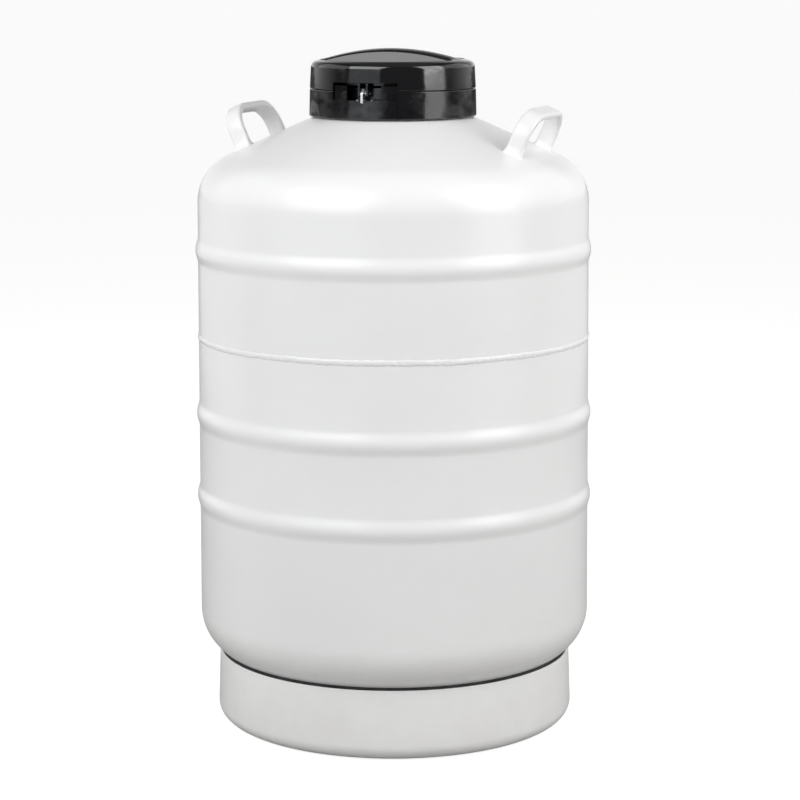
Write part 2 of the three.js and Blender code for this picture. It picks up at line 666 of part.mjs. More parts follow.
place('outer_shell_upper', geometryOf(cut(
  solid(outerShellUpper()),
  ...collarScrewSpots.map((spot) => drill(2.4, 600, 640, spot)))), paint);
place('outer_shell_lower', outerShellLower(), paint);
place('shell_seam_weld', shellSeamWeld(), paint);
place('base_ring', baseRing(), paint);
place('foot_ring', ring(FOOT_RING.inner, FOOT_RING.outer, 0, FOOT_RING.thick), rubber);
place('neck_flange', neckFlange(), aluminium);
place('neck_tube', ring(NECK_INNER, NECK_OUTER, NECK_BOTTOM, NECK_TOP, NECK_ROUND), glassFibre);
place('canister_index_ring', canisterIndexRing(), blackPlastic);
place('inner_vessel_upper', innerVesselUpper(), aluminium);
place('inner_vessel_lower', innerVesselLower(), aluminium);
place('insulation_blanket', insulationBlanket(), foil);
place('adsorbent_pack', disc(PACK.radius, PACK.bottom, VESSEL_BOTTOM - 1, 24), foam);
place('canister_locator', canisterLocator(), aluminium);

place('vacuum_port', revolve([
  [PORT.bore, PORT.bottom], [PORT.tube, PORT.bottom], [PORT.tube, PORT.flangeBottom],
  [PORT.flange, PORT.flangeBottom], [PORT.flange, PORT.flangeTop], [PORT.tube, PORT.flangeTop],
  [PORT.tube, PORT.top], [PORT.bore, PORT.top],
], SMALL_ROUND), aluminium);
place('vacuum_plug', revolve([
  [0, STOPPER.bottom], [STOPPER.head, STOPPER.bottom], [STOPPER.head, STOPPER.headTop],
  [STOPPER.shank, STOPPER.headTop], [STOPPER.shank, STOPPER.top], [0, STOPPER.top],
], SMALL_ROUND), rubber);
place('vacuum_cap', revolve([
  [0, CAP.bottom], [CAP.radius, CAP.bottom], [CAP.radius, CAP.top], [CAP.bore, CAP.top],
  [CAP.bore, CAP.floor], [0, CAP.floor],
], SMALL_ROUND), blackPlastic);

for (const [name, turn] of [['handle_right', 0], ['handle_left', Math.PI]]) {
  place(name, handle(), paint).rotation.z = turn;
}

place('lock_collar', lockCollar(), blackPlastic);
place('lock_pocket', lockPocket(), blackPlastic);
place('lock_staple', lockStaple(), steel);
for (const [i, name] of ['staple_rivet_left', 'staple_rivet_right'].entries()) {
  const head = SHELF_TOP + GAP + STAPLE.sheet + GAP;
  place(name, fastener(1.8, head, head + 1.2, 1, 626), steel)
    .position.set(...rivetSpots[i], 0);
}
collarScrewSpots.forEach((spot, i) => {
  place(`collar_screw_${i + 1}`, fastener(4, FLANGE_TOP + GAP, FLANGE_TOP + 3.2, 2, 611), steel)
    .position.set(...spot, 0);
});

place('lid_cover', lidCover(), blackPlastic);
place('lid_liner', lidLiner(), blackPlastic);
place('lock_lug_block', lockLugBlock(), blackPlastic);
linerScrewSpots.forEach((spot, i) => {
  place(`liner_screw_${i + 1}`, fastener(3.2, 644.8, LINER_BOTTOM - GAP, 1.3, 657), steel)
    .position.set(...spot, 0);
});
place('neck_plug', revolve([
  [0, PLUG_BOTTOM], [PLUG_RADIUS, PLUG_BOTTOM], [PLUG_RADIUS, PLUG_TOP], [2.4, PLUG_TOP],
  [2.4, 620], [0, 620],
], 24), foam);
place('plug_hub', ring(2.4, 17, PLUG_TOP + GAP, LINER_BOTTOM - GAP, 24), blackPlastic);
place('plug_screw', fastener(
  5, LINER_BOTTOM + LINER_THICK + GAP, LINER_BOTTOM + LINER_THICK + 3, 2, 622), steel);

canisterAngles().forEach((angle, i) => {
  const carrier = new THREE.Group();
  carrier.rotation.z = angle;
  dewar.add(carrier);
  place(`canister_${i + 1}`, canisterCup(), steel, carrier);
  place(`canister_rod_${i + 1}`, canisterRod(), steel, carrier);
});

export default dewar;
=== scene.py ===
"""Liquid nitrogen dewar: the looks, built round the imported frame.

Lengths are in millimetres until a mesh is made.
"""

import math

import bmesh
import bpy
from mathutils import Euler, Matrix, Vector, noise


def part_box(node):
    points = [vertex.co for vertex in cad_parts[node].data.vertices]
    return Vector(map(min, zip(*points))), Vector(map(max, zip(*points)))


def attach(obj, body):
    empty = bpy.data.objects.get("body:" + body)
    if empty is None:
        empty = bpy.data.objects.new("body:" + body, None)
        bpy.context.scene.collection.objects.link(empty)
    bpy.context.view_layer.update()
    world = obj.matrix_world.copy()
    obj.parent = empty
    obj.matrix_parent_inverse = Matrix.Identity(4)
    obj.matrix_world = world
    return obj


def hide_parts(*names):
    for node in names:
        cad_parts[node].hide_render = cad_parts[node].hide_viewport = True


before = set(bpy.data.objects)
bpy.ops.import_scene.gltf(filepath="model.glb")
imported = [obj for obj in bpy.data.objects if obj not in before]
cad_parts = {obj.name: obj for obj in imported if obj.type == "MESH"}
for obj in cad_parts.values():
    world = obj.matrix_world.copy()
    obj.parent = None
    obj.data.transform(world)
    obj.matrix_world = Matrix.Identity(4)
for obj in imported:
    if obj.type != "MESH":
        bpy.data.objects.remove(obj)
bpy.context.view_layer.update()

MM = 0.001
SHELL_FACETS = 192
LID_FACETS = 160
NECK_FACETS = 96
SMALL_FACETS = 32


# ---- sizes, from the frame ------------------------------------------------------------------

def corners(node):
    """A CAD node's lowest and highest corners, in millimetres."""
    low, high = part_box(node)
    return low / MM, high / MM


upper_high = corners("outer_shell_upper")[1]
lower_low = corners("outer_shell_lower")[0]
weld_low, weld_high = corners("shell_seam_weld")
base_low, base_high = corners("base_ring")
foot_low, foot_high = corners("foot_ring")
cover_low, cover_high = corners("lid_cover")
collar_low, collar_high = corners("lock_collar")
liner_low, liner_high = corners("lid_liner")
tube_low, tube_high = corners("neck_tube")
index_low = corners("canister_index_ring")[0]
plug_low, plug_high = corners("neck_plug")

BEAD_PROUD = 2.6
BEAD_HALF_WIDTH = 13
BEAD_HEIGHTS = (482, 317, 233)
WALL_TAPER = 0.006
STRAIGHT_HEIGHT = 320
JACKET_RADIUS = upper_high.x - BEAD_PROUD
JACKET_WALL = 2.5
SHOULDER_SLOPE = math.radians(24)
SHOULDER_FILLET = 48
LAND_RADIUS = 66
LAND_HEIGHT = upper_high.z
NECK_HOLE_RADIUS = 32
SEAM_HEIGHT = (weld_low.z + weld_high.z) / 2 - 1
BOTTOM_FILLET = 50
BOTTOM_HEIGHT = lower_low.z + 1.8
SKIRT_CREST = base_high.x - 2.6
HANDLE_RADIUS = 143
HANDLE_HALF_SPAN = 50.5
HANDLE_STRAP = 7
HANDLE_WIDTH = 17
HANDLE_HEIGHT = 41
HANDLE_CORNER = 27
GRIP_HALF_WIDTH = 14
SCOOP_RADIUS = 72
SCOOP_FLOOR = 665.5
LID_RIM_HEIGHT = 669
WINDOW_HALF_ANGLE = math.radians(24)
SLOT_HALF_ANGLE = math.radians(12.5)
WINDOW_BOTTOM = 633
WINDOW_TOP = 650
SHELF_TOP = 630.6
TONGUE_TOP = 647
LOCK_HOLE = (-76.8, 640.2)
LOCK_HOLE_RADIUS = 3.2
VESSEL_RADIUS = 146
VESSEL_SLOPE = math.radians(20)
VESSEL_FILLET = 42
VESSEL_TOP = 470
VESSEL_SEAM = 270
NECK_OUTER = 27.3
CANISTER_COUNT = 6
CANISTER_CIRCLE = 43.1
CANISTER_RADIUS = 19
ROD_RADIUS = 1.2


def screw_circle(radius, degrees):
    return [(radius * math.cos(math.radians(a)), radius * math.sin(math.radians(a))) for a in degrees]


COLLAR_SCREWS = screw_circle(58, (45, 135, 225, 315))
LINER_SCREWS = screw_circle(60, (90, 210, 330))


def cone_height(radius):
    return LAND_HEIGHT - (radius - LAND_RADIUS) * math.tan(SHOULDER_SLOPE)


# ---- mesh helpers ---------------------------------------------------------------------------

def rounded(points, steps=5):
    """A closed outline from (x, y, fillet radius) corners, with an arc at each corner that has a radius."""
    outline = []
    count = len(points)
    for i, corner in enumerate(points):
        here = Vector(corner[:2])
        radius = corner[2] if len(corner) > 2 else 0
        before = Vector(points[i - 1][:2]) - here
        after = Vector(points[(i + 1) % count][:2]) - here
        if radius <= 0 or before.length < 1e-6 or after.length < 1e-6:
            outline.append(tuple(here))
            continue
        before.normalize()
        after.normalize()
        half = before.angle(after) / 2
        reach = radius / math.tan(half)
        middle = here + (before + after).normalized() * (radius / math.sin(half))
        first = here + before * reach - middle
        turn = first.angle_signed(here + after * reach - middle)
        arc_steps = max(steps, int(abs(turn) * radius / 4))
        for k in range(arc_steps + 1):
            angle = -turn * k / arc_steps
            spoke = Matrix.Rotation(angle, 2) @ first
            outline.append(tuple(middle + spoke))
    return outline


def bead(height):
    """The points of one smooth rolled bead, from its upper edge down."""
    steps = 16
    return [
        (JACKET_RADIUS + BEAD_PROUD * (1 - u * u) ** 2, height - u * BEAD_HALF_WIDTH)
        for u in (2 * i / steps - 1 for i in range(steps + 1))
    ]


def make(name, vertices, faces, sharp=35):
    """A mesh object in metres, from points in millimetres, with its faces turned outward."""
    mesh = bpy.data.meshes.new(name)
    mesh.from_pydata([tuple(c * MM for c in v) for v in vertices], [], faces)
    work = bmesh.new()
    work.from_mesh(mesh)
    bmesh.ops.remove_doubles(work, verts=work.verts, dist=1e-6)
    bmesh.ops.recalc_face_normals(work, faces=work.faces)
    work.to_mesh(mesh)
    work.free()
    obj = bpy.data.objects.new(name, mesh)
    bpy.context.scene.collection.objects.link(obj)
    smooth(obj, sharp)
    return obj


def smooth(obj, sharp=35):
    obj.data.shade_smooth()
    obj.data.set_sharp_from_angle(angle=math.radians(sharp))


def revolve(name, outline, facets=SHELL_FACETS, warp=None, sharp=35):
    """A closed (radius, height) outline turned round the Z axis. warp moves a point by its angle."""
    vertices, faces = [], []
    count = len(outline)
    for i in range(facets):
        angle = 2 * math.pi * i / facets
        for radius, height in outline:
            if warp:
                radius, height = warp(radius, height, angle)
            vertices.append((radius * math.sin(angle), -radius * math.cos(angle), height))
    for i in range(facets):
        here, there = i * count, (i + 1) % facets * count
        for j in range(count):
            k = (j + 1) % count
            if outline[j][0] < 1e-6 and outline[k][0] < 1e-6:
                continue
            faces.append((here + j, there + j, there + k, here + k))
    return make(name, vertices, faces, sharp)


def loft(name, rows, sharp=35, capped=True):
    """Joins closed rows of points, one after the other, and caps both ends."""
    count = len(rows[0])
    vertices = [p for row in rows for p in row]
    faces = [
        (i * count + j, i * count + (j + 1) % count, (i + 1) * count + (j + 1) % count, (i + 1) * count + j)
        for i in range(len(rows) - 1) for j in range(count)
    ]
    if capped:
        faces.append(tuple(range(count)))
        faces.append(tuple(range((len(rows) - 1) * count, len(rows) * count)))
    return make(name, vertices, faces, sharp)


def plate(name, outline, low, high, edge=0.4, sharp=35):
    """A flat outline pulled up from low to high, with its rims chamfered by edge."""
    middle = sum((Vector(p) for p in outline), Vector((0, 0))) / len(outline)

    def inset(height, amount):
        row = []
        for p in outline:
            away = Vector(p) - middle
            row.append((*(middle + away * (1 - amount / max(away.length, 1e-6))), height))
        return row

    rows = [inset(low, edge), inset(low + edge, 0), inset(high - edge, 0), inset(high, edge)]
    return loft(name, rows, sharp)


def box_piece(name, low, high, edge=0.5):
    """A block with bevelled edges."""
    bm = bmesh.new()
    bmesh.ops.create_cube(bm, size=1)
    size = Vector(high) - Vector(low)
    middle = (Vector(high) + Vector(low)) / 2
    bmesh.ops.scale(bm, vec=size * MM, verts=bm.verts)
    bmesh.ops.translate(bm, vec=middle * MM, verts=bm.verts)
    bmesh.ops.bevel(bm, geom=bm.edges[:], offset=edge * MM, segments=3, affect="EDGES", profile=0.5)
    mesh = bpy.data.meshes.new(name)
    bm.to_mesh(mesh)
    bm.free()
    obj = bpy.data.objects.new(name, mesh)
    bpy.context.scene.collection.objects.link(obj)
    smooth(obj)
    return obj


def sector(name, inner, outer, half, low, high, steps=24, middle=0):
    """Part of a ring about the front, half radians to either side of a middle angle."""
    angles = [middle + half * (2 * i / steps - 1) for i in range(steps + 1)]
    outline = [(outer * math.sin(a), -outer * math.cos(a)) for a in angles]
    outline += [(inner * math.sin(a), -inner * math.cos(a)) for a in reversed(angles)]
    rows = [[(x, y, z) for x, y in outline] for z in (low, high)]
    return loft(name, rows)


def disc_outline(radius, low, high):
    return [(0, low), (radius, low), (radius, high), (0, high)]


def turned(name, outline, spot=(0, 0), facets=SMALL_FACETS, warp=None):
    """A revolved piece whose axis stands at a spot on the plan."""
    obj = revolve(name, outline, facets, warp)
    obj.data.transform(Matrix.Translation((spot[0] * MM, spot[1] * MM, 0)))
    return obj


def side_plate(name, outline, left, right, edge):
    """A (y, z) outline pulled along X, with its rims chamfered."""
    obj = plate(name, outline, left, right, edge)
    turn = Matrix(((0, 0, 1, 0), (1, 0, 0, 0), (0, 1, 0, 0), (0, 0, 0, 1)))
    obj.data.transform(turn)
    return obj


def cross_recess(obj, spot, low, high):
    """Sinks a cross-head recess into a screw."""
    for wide, deep in ((2.2, 0.45), (0.45, 2.2)):
        x, y = spot
        boolean(obj, box_piece("recess", (x - wide, y - deep, low), (x + wide, y + deep, high), 0.1))
    return finish_edges(obj, 32)


def canister_angle(i):
    return math.radians(30 + 360 * i / CANISTER_COUNT)


def pressed_foam(radius, height, angle):
    """Foam is never quite round: a slow dent or two, always inward."""
    if radius < 15:
        return radius, height
    dent = noise.noise(Vector((math.cos(angle) * 2, math.sin(angle) * 2, height * 0.02)))
    return radius - 0.25 - 0.25 * dent, height


def knurled_cap(radius, height, angle):
    """Grip flutes round the side of the cap."""
    if radius > 10.9 and 33 < height < 56:
        return radius - 0.25 * (1 - math.cos(16 * angle)), height
    return radius, height


def rod_tool(name, radius, start, end, facets=40):
    """A round bar between two points, for drilling."""
    start, end = Vector(start), Vector(end)
    turn = (end - start).to_track_quat("Z", "Y").to_matrix()
    rows = []
    for at in (start, end):
        rows.append([
            tuple(at + turn @ Vector((radius * math.cos(a), radius * math.sin(a), 0)))
            for a in (2 * math.pi * i / facets for i in range(facets))
        ])
    return loft(name, rows)


def boolean(obj, tool, operation="DIFFERENCE"):
    """Cuts the tool out of obj, or joins it on, and removes the tool."""
    modifier = obj.modifiers.new("cut", "BOOLEAN")
    modifier.operation = operation
    modifier.solver = "EXACT"
    modifier.object = tool
    apply_modifiers(obj)
    bpy.data.objects.remove(tool)
    return obj


def apply_modifiers(obj):
    graph = bpy.context.evaluated_depsgraph_get()
    mesh = bpy.data.meshes.new_from_object(obj.evaluated_get(graph))
    obj.modifiers.clear()
    obj.data = mesh


def finish_edges(obj, sharp=35):
    """Cleans a mesh after booleans and shades it by area-weighted normals."""
    work = bmesh.new()
    work.from_mesh(obj.data)
    bmesh.ops.remove_doubles(work, verts=work.verts, dist=2e-6)
    bmesh.ops.dissolve_degenerate(work, edges=work.edges, dist=2e-6)
    work.to_mesh(obj.data)
    work.free()
    smooth(obj, sharp)
    modifier = obj.modifiers.new("normals", "WEIGHTED_NORMAL")
    modifier.keep_sharp = True
    apply_modifiers(obj)
    return obj


def sweep(name, path, section, widths=None, sharp=35):
    """Pulls a section along a path of (point, tangent side, width side) frames."""
    rows = []
    for i, (point, side, wide) in enumerate(path):
        grow = widths[i] if widths else (1, 1)
        rows.append([tuple(point + side * (u * grow[0]) + wide * (v * grow[1])) for u, v in section])
    return loft(name, rows, sharp)


def place(obj, body, slot, material, *nodes):
    """Gives a piece its body and its material, and hides the CAD nodes that it stands for; the slot is not
    used.
    """
    obj.data.materials.clear()
    obj.data.materials.append(material)
    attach(obj, body)
    if nodes:
        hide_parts(*nodes)
    return obj


# ---- materials ------------------------------------------------------------------------------

class Nodes:
    """A short way to add and join the nodes of one material."""

    def __init__(self, name):
        self.material = bpy.data.materials.new(name)
        self.material.use_nodes = True
        self.tree = self.material.node_tree
        self.shader = self.tree.nodes["Principled BSDF"]
        self.place = self.add("ShaderNodeTexCoord").outputs["Object"]

    def add(self, kind, inputs=None, **settings):
        node = self.tree.nodes.new(kind)
        for key, value in settings.items():
            setattr(node, key, value)
        for key, value in (inputs or {}).items():
            if isinstance(value, bpy.types.NodeSocket):
                self.tree.links.new(value, node.inputs[key])
            else:
                node.inputs[key].default_value = value
        return node

    def noise(self, scale, detail=3, rough=0.5, stretch=None):
        place = self.place
        if stretch:
            place = self.add("ShaderNodeVectorMath", {0: place, 1: stretch}, operation="MULTIPLY").outputs[0]
        return self.add("ShaderNodeTexNoise", {
            "Vector": place, "Scale": scale, "Detail": detail, "Roughness": rough}).outputs["Fac"]

    def ramp(self, value, stops):
        node = self.add("ShaderNodeValToRGB", {"Fac": value})
        elements = node.color_ramp.elements
        while len(elements) < len(stops):
            elements.new(0.5)
        for element, (at, colour) in zip(elements, stops):
            element.position = at
            element.color = (*colour, 1)
        return node.outputs["Color"]

    def span(self, value, low, high, to_low, to_high):
        node = self.add("ShaderNodeMapRange", {
            "Value": value, "From Min": low, "From Max": high, "To Min": to_low, "To Max": to_high})
        return node.outputs["Result"]

    def math(self, operation, a, b):
        return self.add("ShaderNodeMath", {0: a, 1: b}, operation=operation).outputs[0]

    def bump(self, height, strength, distance, normal=None):
        inputs = {"Height": height, "Strength": strength, "Distance": distance}
        if normal:
            inputs["Normal"] = normal
        return self.add("ShaderNodeBump", inputs).outputs["Normal"]

    def set(self, **sockets):
        names = {"base": "Base Color", "rough": "Roughness", "metal": "Metallic", "normal": "Normal",
                 "coat": "Coat Weight", "coat_rough": "Coat Roughness", "ior": "IOR",
                 "specular": "Specular IOR Level", "subsurface": "Subsurface Weight"}
        for key, value in sockets.items():
            socket = self.shader.inputs[names[key]]
            if isinstance(value, bpy.types.NodeSocket):
                self.tree.links.new(value, socket)
            else:
                socket.default_value = value
        return self.material


def white_paint():
    """Semi-gloss enamel on spun metal: fine orange peel, slow ripples, a little unevenness of tone, and a
    painted warm floor reflection with painted shade near the bottom.
    """
    n = Nodes("white_enamel")
    tone = n.ramp(n.noise(7, 4, 0.6), [(0.3, (0.88, 0.88, 0.88)), (0.7, (0.905, 0.905, 0.905))])
    # Painted reflection and shade: below about 16 cm the enamel is mixed, in patches, towards a darker warm
    # beige, standing in for the floor's warm reflection on the lower jacket and skirt.
    height = n.add("ShaderNodeSeparateXYZ", {"Vector": n.place}).outputs["Z"]
    low = n.span(height, 0.05, 0.16, 1, 0)
    painted_floor_reflection = n.math("MULTIPLY", low, n.span(n.noise(26, 5, 0.65), 0.35, 0.75, 0.1, 0.5))
    colour = n.add("ShaderNodeMix", {"Factor": painted_floor_reflection, "A": tone, "B": (0.8, 0.78, 0.745, 1)}, data_type="RGBA")
    peel = n.bump(n.noise(420, 2, 0.5), 0.05, 0.0004)
    ripple = n.bump(n.noise(9, 2, 0.5, (1, 1, 3)), 0.25, 0.0025, peel)
    rough = n.span(n.noise(60, 4, 0.6), 0.3, 0.7, 0.29, 0.37)
    return n.set(base=colour.outputs["Result"], rough=rough, normal=ripple, coat=0.25, coat_rough=0.12)


def weld_paint():
    """The same enamel over a hand-laid weld bead, lumpier than the sheet."""
    n = Nodes("white_enamel_weld")
    tone = n.ramp(n.noise(120, 4, 0.6), [(0.3, (0.84, 0.84, 0.84)), (0.7, (0.9, 0.9, 0.9))])
    lumps = n.bump(n.noise(260, 3, 0.6), 0.5, 0.0008)
    rough = n.span(n.noise(90, 3), 0.3, 0.7, 0.29, 0.4)
    return n.set(base=tone, rough=rough, normal=lumps, coat=0.25, coat_rough=0.15)


def black_plastic(name="gloss_black_plastic", wear=0.35):
    """Glossy moulded plastic with slow sink ripples, faint haze and fine scuffs."""
    n = Nodes(name)
    tone = n.ramp(n.noise(40, 5, 0.6), [(0.3, (0.003, 0.003, 0.004)), (0.75, (0.006, 0.006, 0.007))])
    haze = n.span(n.noise(55, 5, 0.65), 0.35, 0.7, 0.07, 0.07 + 0.25 * wear)
    sink = n.bump(n.noise(38, 3, 0.5), 0.3 * wear + 0.05, 0.0012)
    grain = n.bump(n.noise(900, 2, 0.5), 0.04, 0.0002, sink)
    return n.set(base=tone, rough=haze, normal=grain, specular=0.85)


def metal(name, light, dark, rough, stretch, scale=160, bump=0.15):
    """Turned or drawn metal: fine lines along one direction, with slow changes of tone."""
    n = Nodes(name)
    lines = n.noise(scale, 5, 0.7, stretch)
    slow = n.noise(14, 3, 0.5)
    mixed = n.math("ADD", n.math("MULTIPLY", lines, 0.6), n.math("MULTIPLY", slow, 0.4))
    tone = n.ramp(mixed, [(0.35, dark), (0.65, light)])
    return n.set(base=tone, metal=1.0, rough=n.span(lines, 0.3, 0.7, rough - 0.07, rough + 0.1),
                 normal=n.bump(lines, bump, 0.0002))


def glass_fibre():
    """Wound glass fibre in resin: a faint crossed weave under an amber-green skin."""
    n = Nodes("wound_glass_fibre")
    waves = [
        n.add("ShaderNodeTexWave", {"Vector": n.place, "Scale": 120, "Distortion": 1.5, "Detail": 2},
              wave_type="BANDS", bands_direction=way).outputs["Fac"]
        for way in ("Z", "DIAGONAL")
    ]
    weave = n.math("MULTIPLY", waves[0], waves[1])
    tone = n.ramp(weave, [(0.0, (0.36, 0.33, 0.15)), (0.8, (0.55, 0.52, 0.3))])
    return n.set(base=tone, rough=n.span(n.noise(80, 3), 0.3, 0.7, 0.3, 0.5),
                 normal=n.bump(weave, 0.2, 0.0003), coat=0.3, coat_rough=0.2)


def foam():
    """Rigid closed-cell foam: small pores and a slightly uneven skin."""
    n = Nodes("rigid_foam")
    pores = n.add("ShaderNodeTexVoronoi", {"Vector": n.place, "Scale": 700}, feature="SMOOTH_F1")
    cells = pores.outputs["Distance"]
    tone = n.ramp(n.noise(50, 4), [(0.3, (0.8, 0.78, 0.7)), (0.7, (0.88, 0.86, 0.8))])
    return n.set(base=tone, rough=n.span(cells, 0, 0.6, 0.8, 0.95), normal=n.bump(cells, 0.35, 0.0006))


def foil():
    """Crinkled multilayer foil."""
    n = Nodes("crinkled_foil")
    crease = n.add("ShaderNodeTexVoronoi", {"Vector": n.place, "Scale": 45}, feature="F1").outputs["Distance"]
    fine = n.noise(90, 5, 0.6)
    tone = n.ramp(fine, [(0.3, (0.7, 0.71, 0.72)), (0.7, (0.86, 0.87, 0.88))])
    return n.set(base=tone, metal=1.0, rough=n.span(fine, 0.3, 0.7, 0.18, 0.32),
                 normal=n.bump(n.math("ADD", crease, fine), 0.6, 0.004))


def rubber():
    """Matt black rubber with a fine grain and a little dust."""
    n = Nodes("matt_rubber")
    tone = n.ramp(n.noise(60, 5, 0.6), [(0.35, (0.02, 0.02, 0.021)), (0.75, (0.045, 0.044, 0.043))])
    return n.set(base=tone, rough=n.span(n.noise(200, 3), 0.3, 0.7, 0.62, 0.8),
                 normal=n.bump(n.noise(700, 2), 0.2, 0.0003))


PAINT = white_paint()
WELD = weld_paint()
BLACK = black_plastic()
BLACK_WORN = black_plastic("gloss_black_plastic_handled", wear=1.0)
ALUMINIUM = metal("turned_aluminium", (0.82, 0.83, 0.84), (0.66, 0.67, 0.68), 0.34, (0.2, 0.2, 6))
STEEL = metal("brushed_steel", (0.78, 0.79, 0.8), (0.6, 0.61, 0.62), 0.28, (3, 3, 0.15))
FIBRE = glass_fibre()
FOAM = foam()
FOIL = foil()
RUBBER = rubber()


# ---- jacket ---------------------------------------------------------------------------------

def jacket_upper():
    inside = JACKET_RADIUS - JACKET_WALL
    edge = SEAM_HEIGHT + 1.6
    corner = cone_height(JACKET_RADIUS)
    outer = rounded([
        (NECK_HOLE_RADIUS, LAND_HEIGHT, 0.6),
        (LAND_RADIUS, LAND_HEIGHT, 14),
        (JACKET_RADIUS, corner, SHOULDER_FILLET),
        (JACKET_RADIUS, edge),
        (inside, edge),
        (inside, corner - JACKET_WALL, SHOULDER_FILLET - JACKET_WALL),
        (LAND_RADIUS, LAND_HEIGHT - JACKET_WALL, 10),
        (NECK_HOLE_RADIUS, LAND_HEIGHT - JACKET_WALL, 0.6),
    ], steps=6)
    return with_beads("jacket_upper", outer, [BEAD_HEIGHTS[0]])


def jacket_lower():
    inside = JACKET_RADIUS - JACKET_WALL
    edge = SEAM_HEIGHT - 1.6
    outer = rounded([
        (inside, edge),
        (JACKET_RADIUS, edge),
        (JACKET_RADIUS, BOTTOM_HEIGHT, BOTTOM_FILLET),
        (8.3, BOTTOM_HEIGHT, 0.5),
        (8.3, BOTTOM_HEIGHT + JACKET_WALL, 0.5),
        (inside, BOTTOM_HEIGHT + JACKET_WALL, BOTTOM_FILLET - JACKET_WALL),
    ], steps=6)
    return with_beads("jacket_lower", outer, BEAD_HEIGHTS[1:])


def with_beads(name, outline, heights):
    """Adds beads to the long outer wall of an outline, between the two wall points that face each other."""
    for i, (a, b) in enumerate(zip(outline, outline[1:])):
        on_wall = abs(a[0] - JACKET_RADIUS) < 1e-4 and abs(b[0] - JACKET_RADIUS) < 1e-4
        if on_wall and a[1] > b[1]:
            points = [p for height in heights for p in bead(height)]
            outline = outline[:i + 1] + points + outline[i + 1:]
            break
    return revolve(name, outline, SHELL_FACETS, lambda r, h, angle: (r + wall_lean(r, h), h), sharp=40)


def wall_lean(radius, height):
    """The spun wall draws in a little towards the shoulder."""
    on_wall = min(max((radius - 150) / 40, 0), 1)
    return WALL_TAPER * (STRAIGHT_HEIGHT - height) * on_wall


def weld_bead():
    """The painted weld round the middle: an uneven low crown that wanders a little."""
    steps = 10
    outline = [(JACKET_RADIUS - JACKET_WALL, -1.2), (JACKET_RADIUS - JACKET_WALL, 1.2)]
    outline += [
        (JACKET_RADIUS - 0.15 + 1.25 * math.cos(a), 2.8 * math.sin(a))
        for a in (math.pi / 2 - math.pi * i / steps for i in range(steps + 1))
    ]

    def warp(radius, height, angle):
        around = Vector((math.cos(angle), math.sin(angle), 0))
        wander = 0.7 * noise.noise(around * 3) + 0.35 * noise.noise(around * 16)
        swell = 1 + 0.35 * noise.noise(around * 40 + Vector((5, 0, 0)))
        proud = max(radius - JACKET_RADIUS, 0)
        crown = proud * (0.75 + 0.5 * noise.noise(around * 60 + Vector((0, 9, 0))))
        if radius < JACKET_RADIUS - 1:
            return radius, SEAM_HEIGHT + height
        wall = min(radius, JACKET_RADIUS) + wall_lean(radius, SEAM_HEIGHT)
        return wall + crown, SEAM_HEIGHT + wander + height * swell

    return revolve("seam_weld", outline, 900, warp)


def base_skirt():
    top = base_high.z
    bottom = base_low.z
    outer = base_high.x
    crest = SKIRT_CREST
    flange = foot_high.z + 0.4
    inner = foot_low.x * -1 - 18
    outline = rounded([
        (inner, flange, 0.5),
        (foot_high.x + 0.4, flange),
        (foot_high.x + 0.4, bottom, 0.3),
        (outer, bottom, 15),
        (crest, top - 1.1, 0.8),
        (crest - 2, top - 1.5, 0.6),
        (crest - 2.4, 64, 1.5),
        (167, 61.5, 2),
        (160, 66.9, 0.3),
        (160, 61.5, 0.5),
        (167, 58, 3),
        (crest - 5, 60, 3),
        (outer - 3, bottom + 15, 4),
        (outer - 6.5, flange + 3, 3),
        (inner, flange + 3, 0.5),
    ], steps=8)
    return revolve("base_skirt", outline, SHELL_FACETS, sharp=40)


def painted_gap_shade_strip():
    """A black strip in the joint between the jacket's bottom and the skirt: a dark sheet put there as painted
    shade, so the gap reads black.
    """
    face = SKIRT_CREST - 2.6
    middle = JACKET_RADIUS - BOTTOM_FILLET

    def underside(radius):
        rise = math.sqrt(BOTTOM_FILLET ** 2 - (radius - middle) ** 2)
        return BOTTOM_HEIGHT + BOTTOM_FILLET - rise - 0.15

    shelf = [(face - 8 + i, underside(face - 8 + i)) for i in range(9)]
    outline = [(face - 8, 63.5)] + shelf + [(face, 63.5)]
    return revolve("painted_gap_shade_strip", outline, SHELL_FACETS, sharp=40)


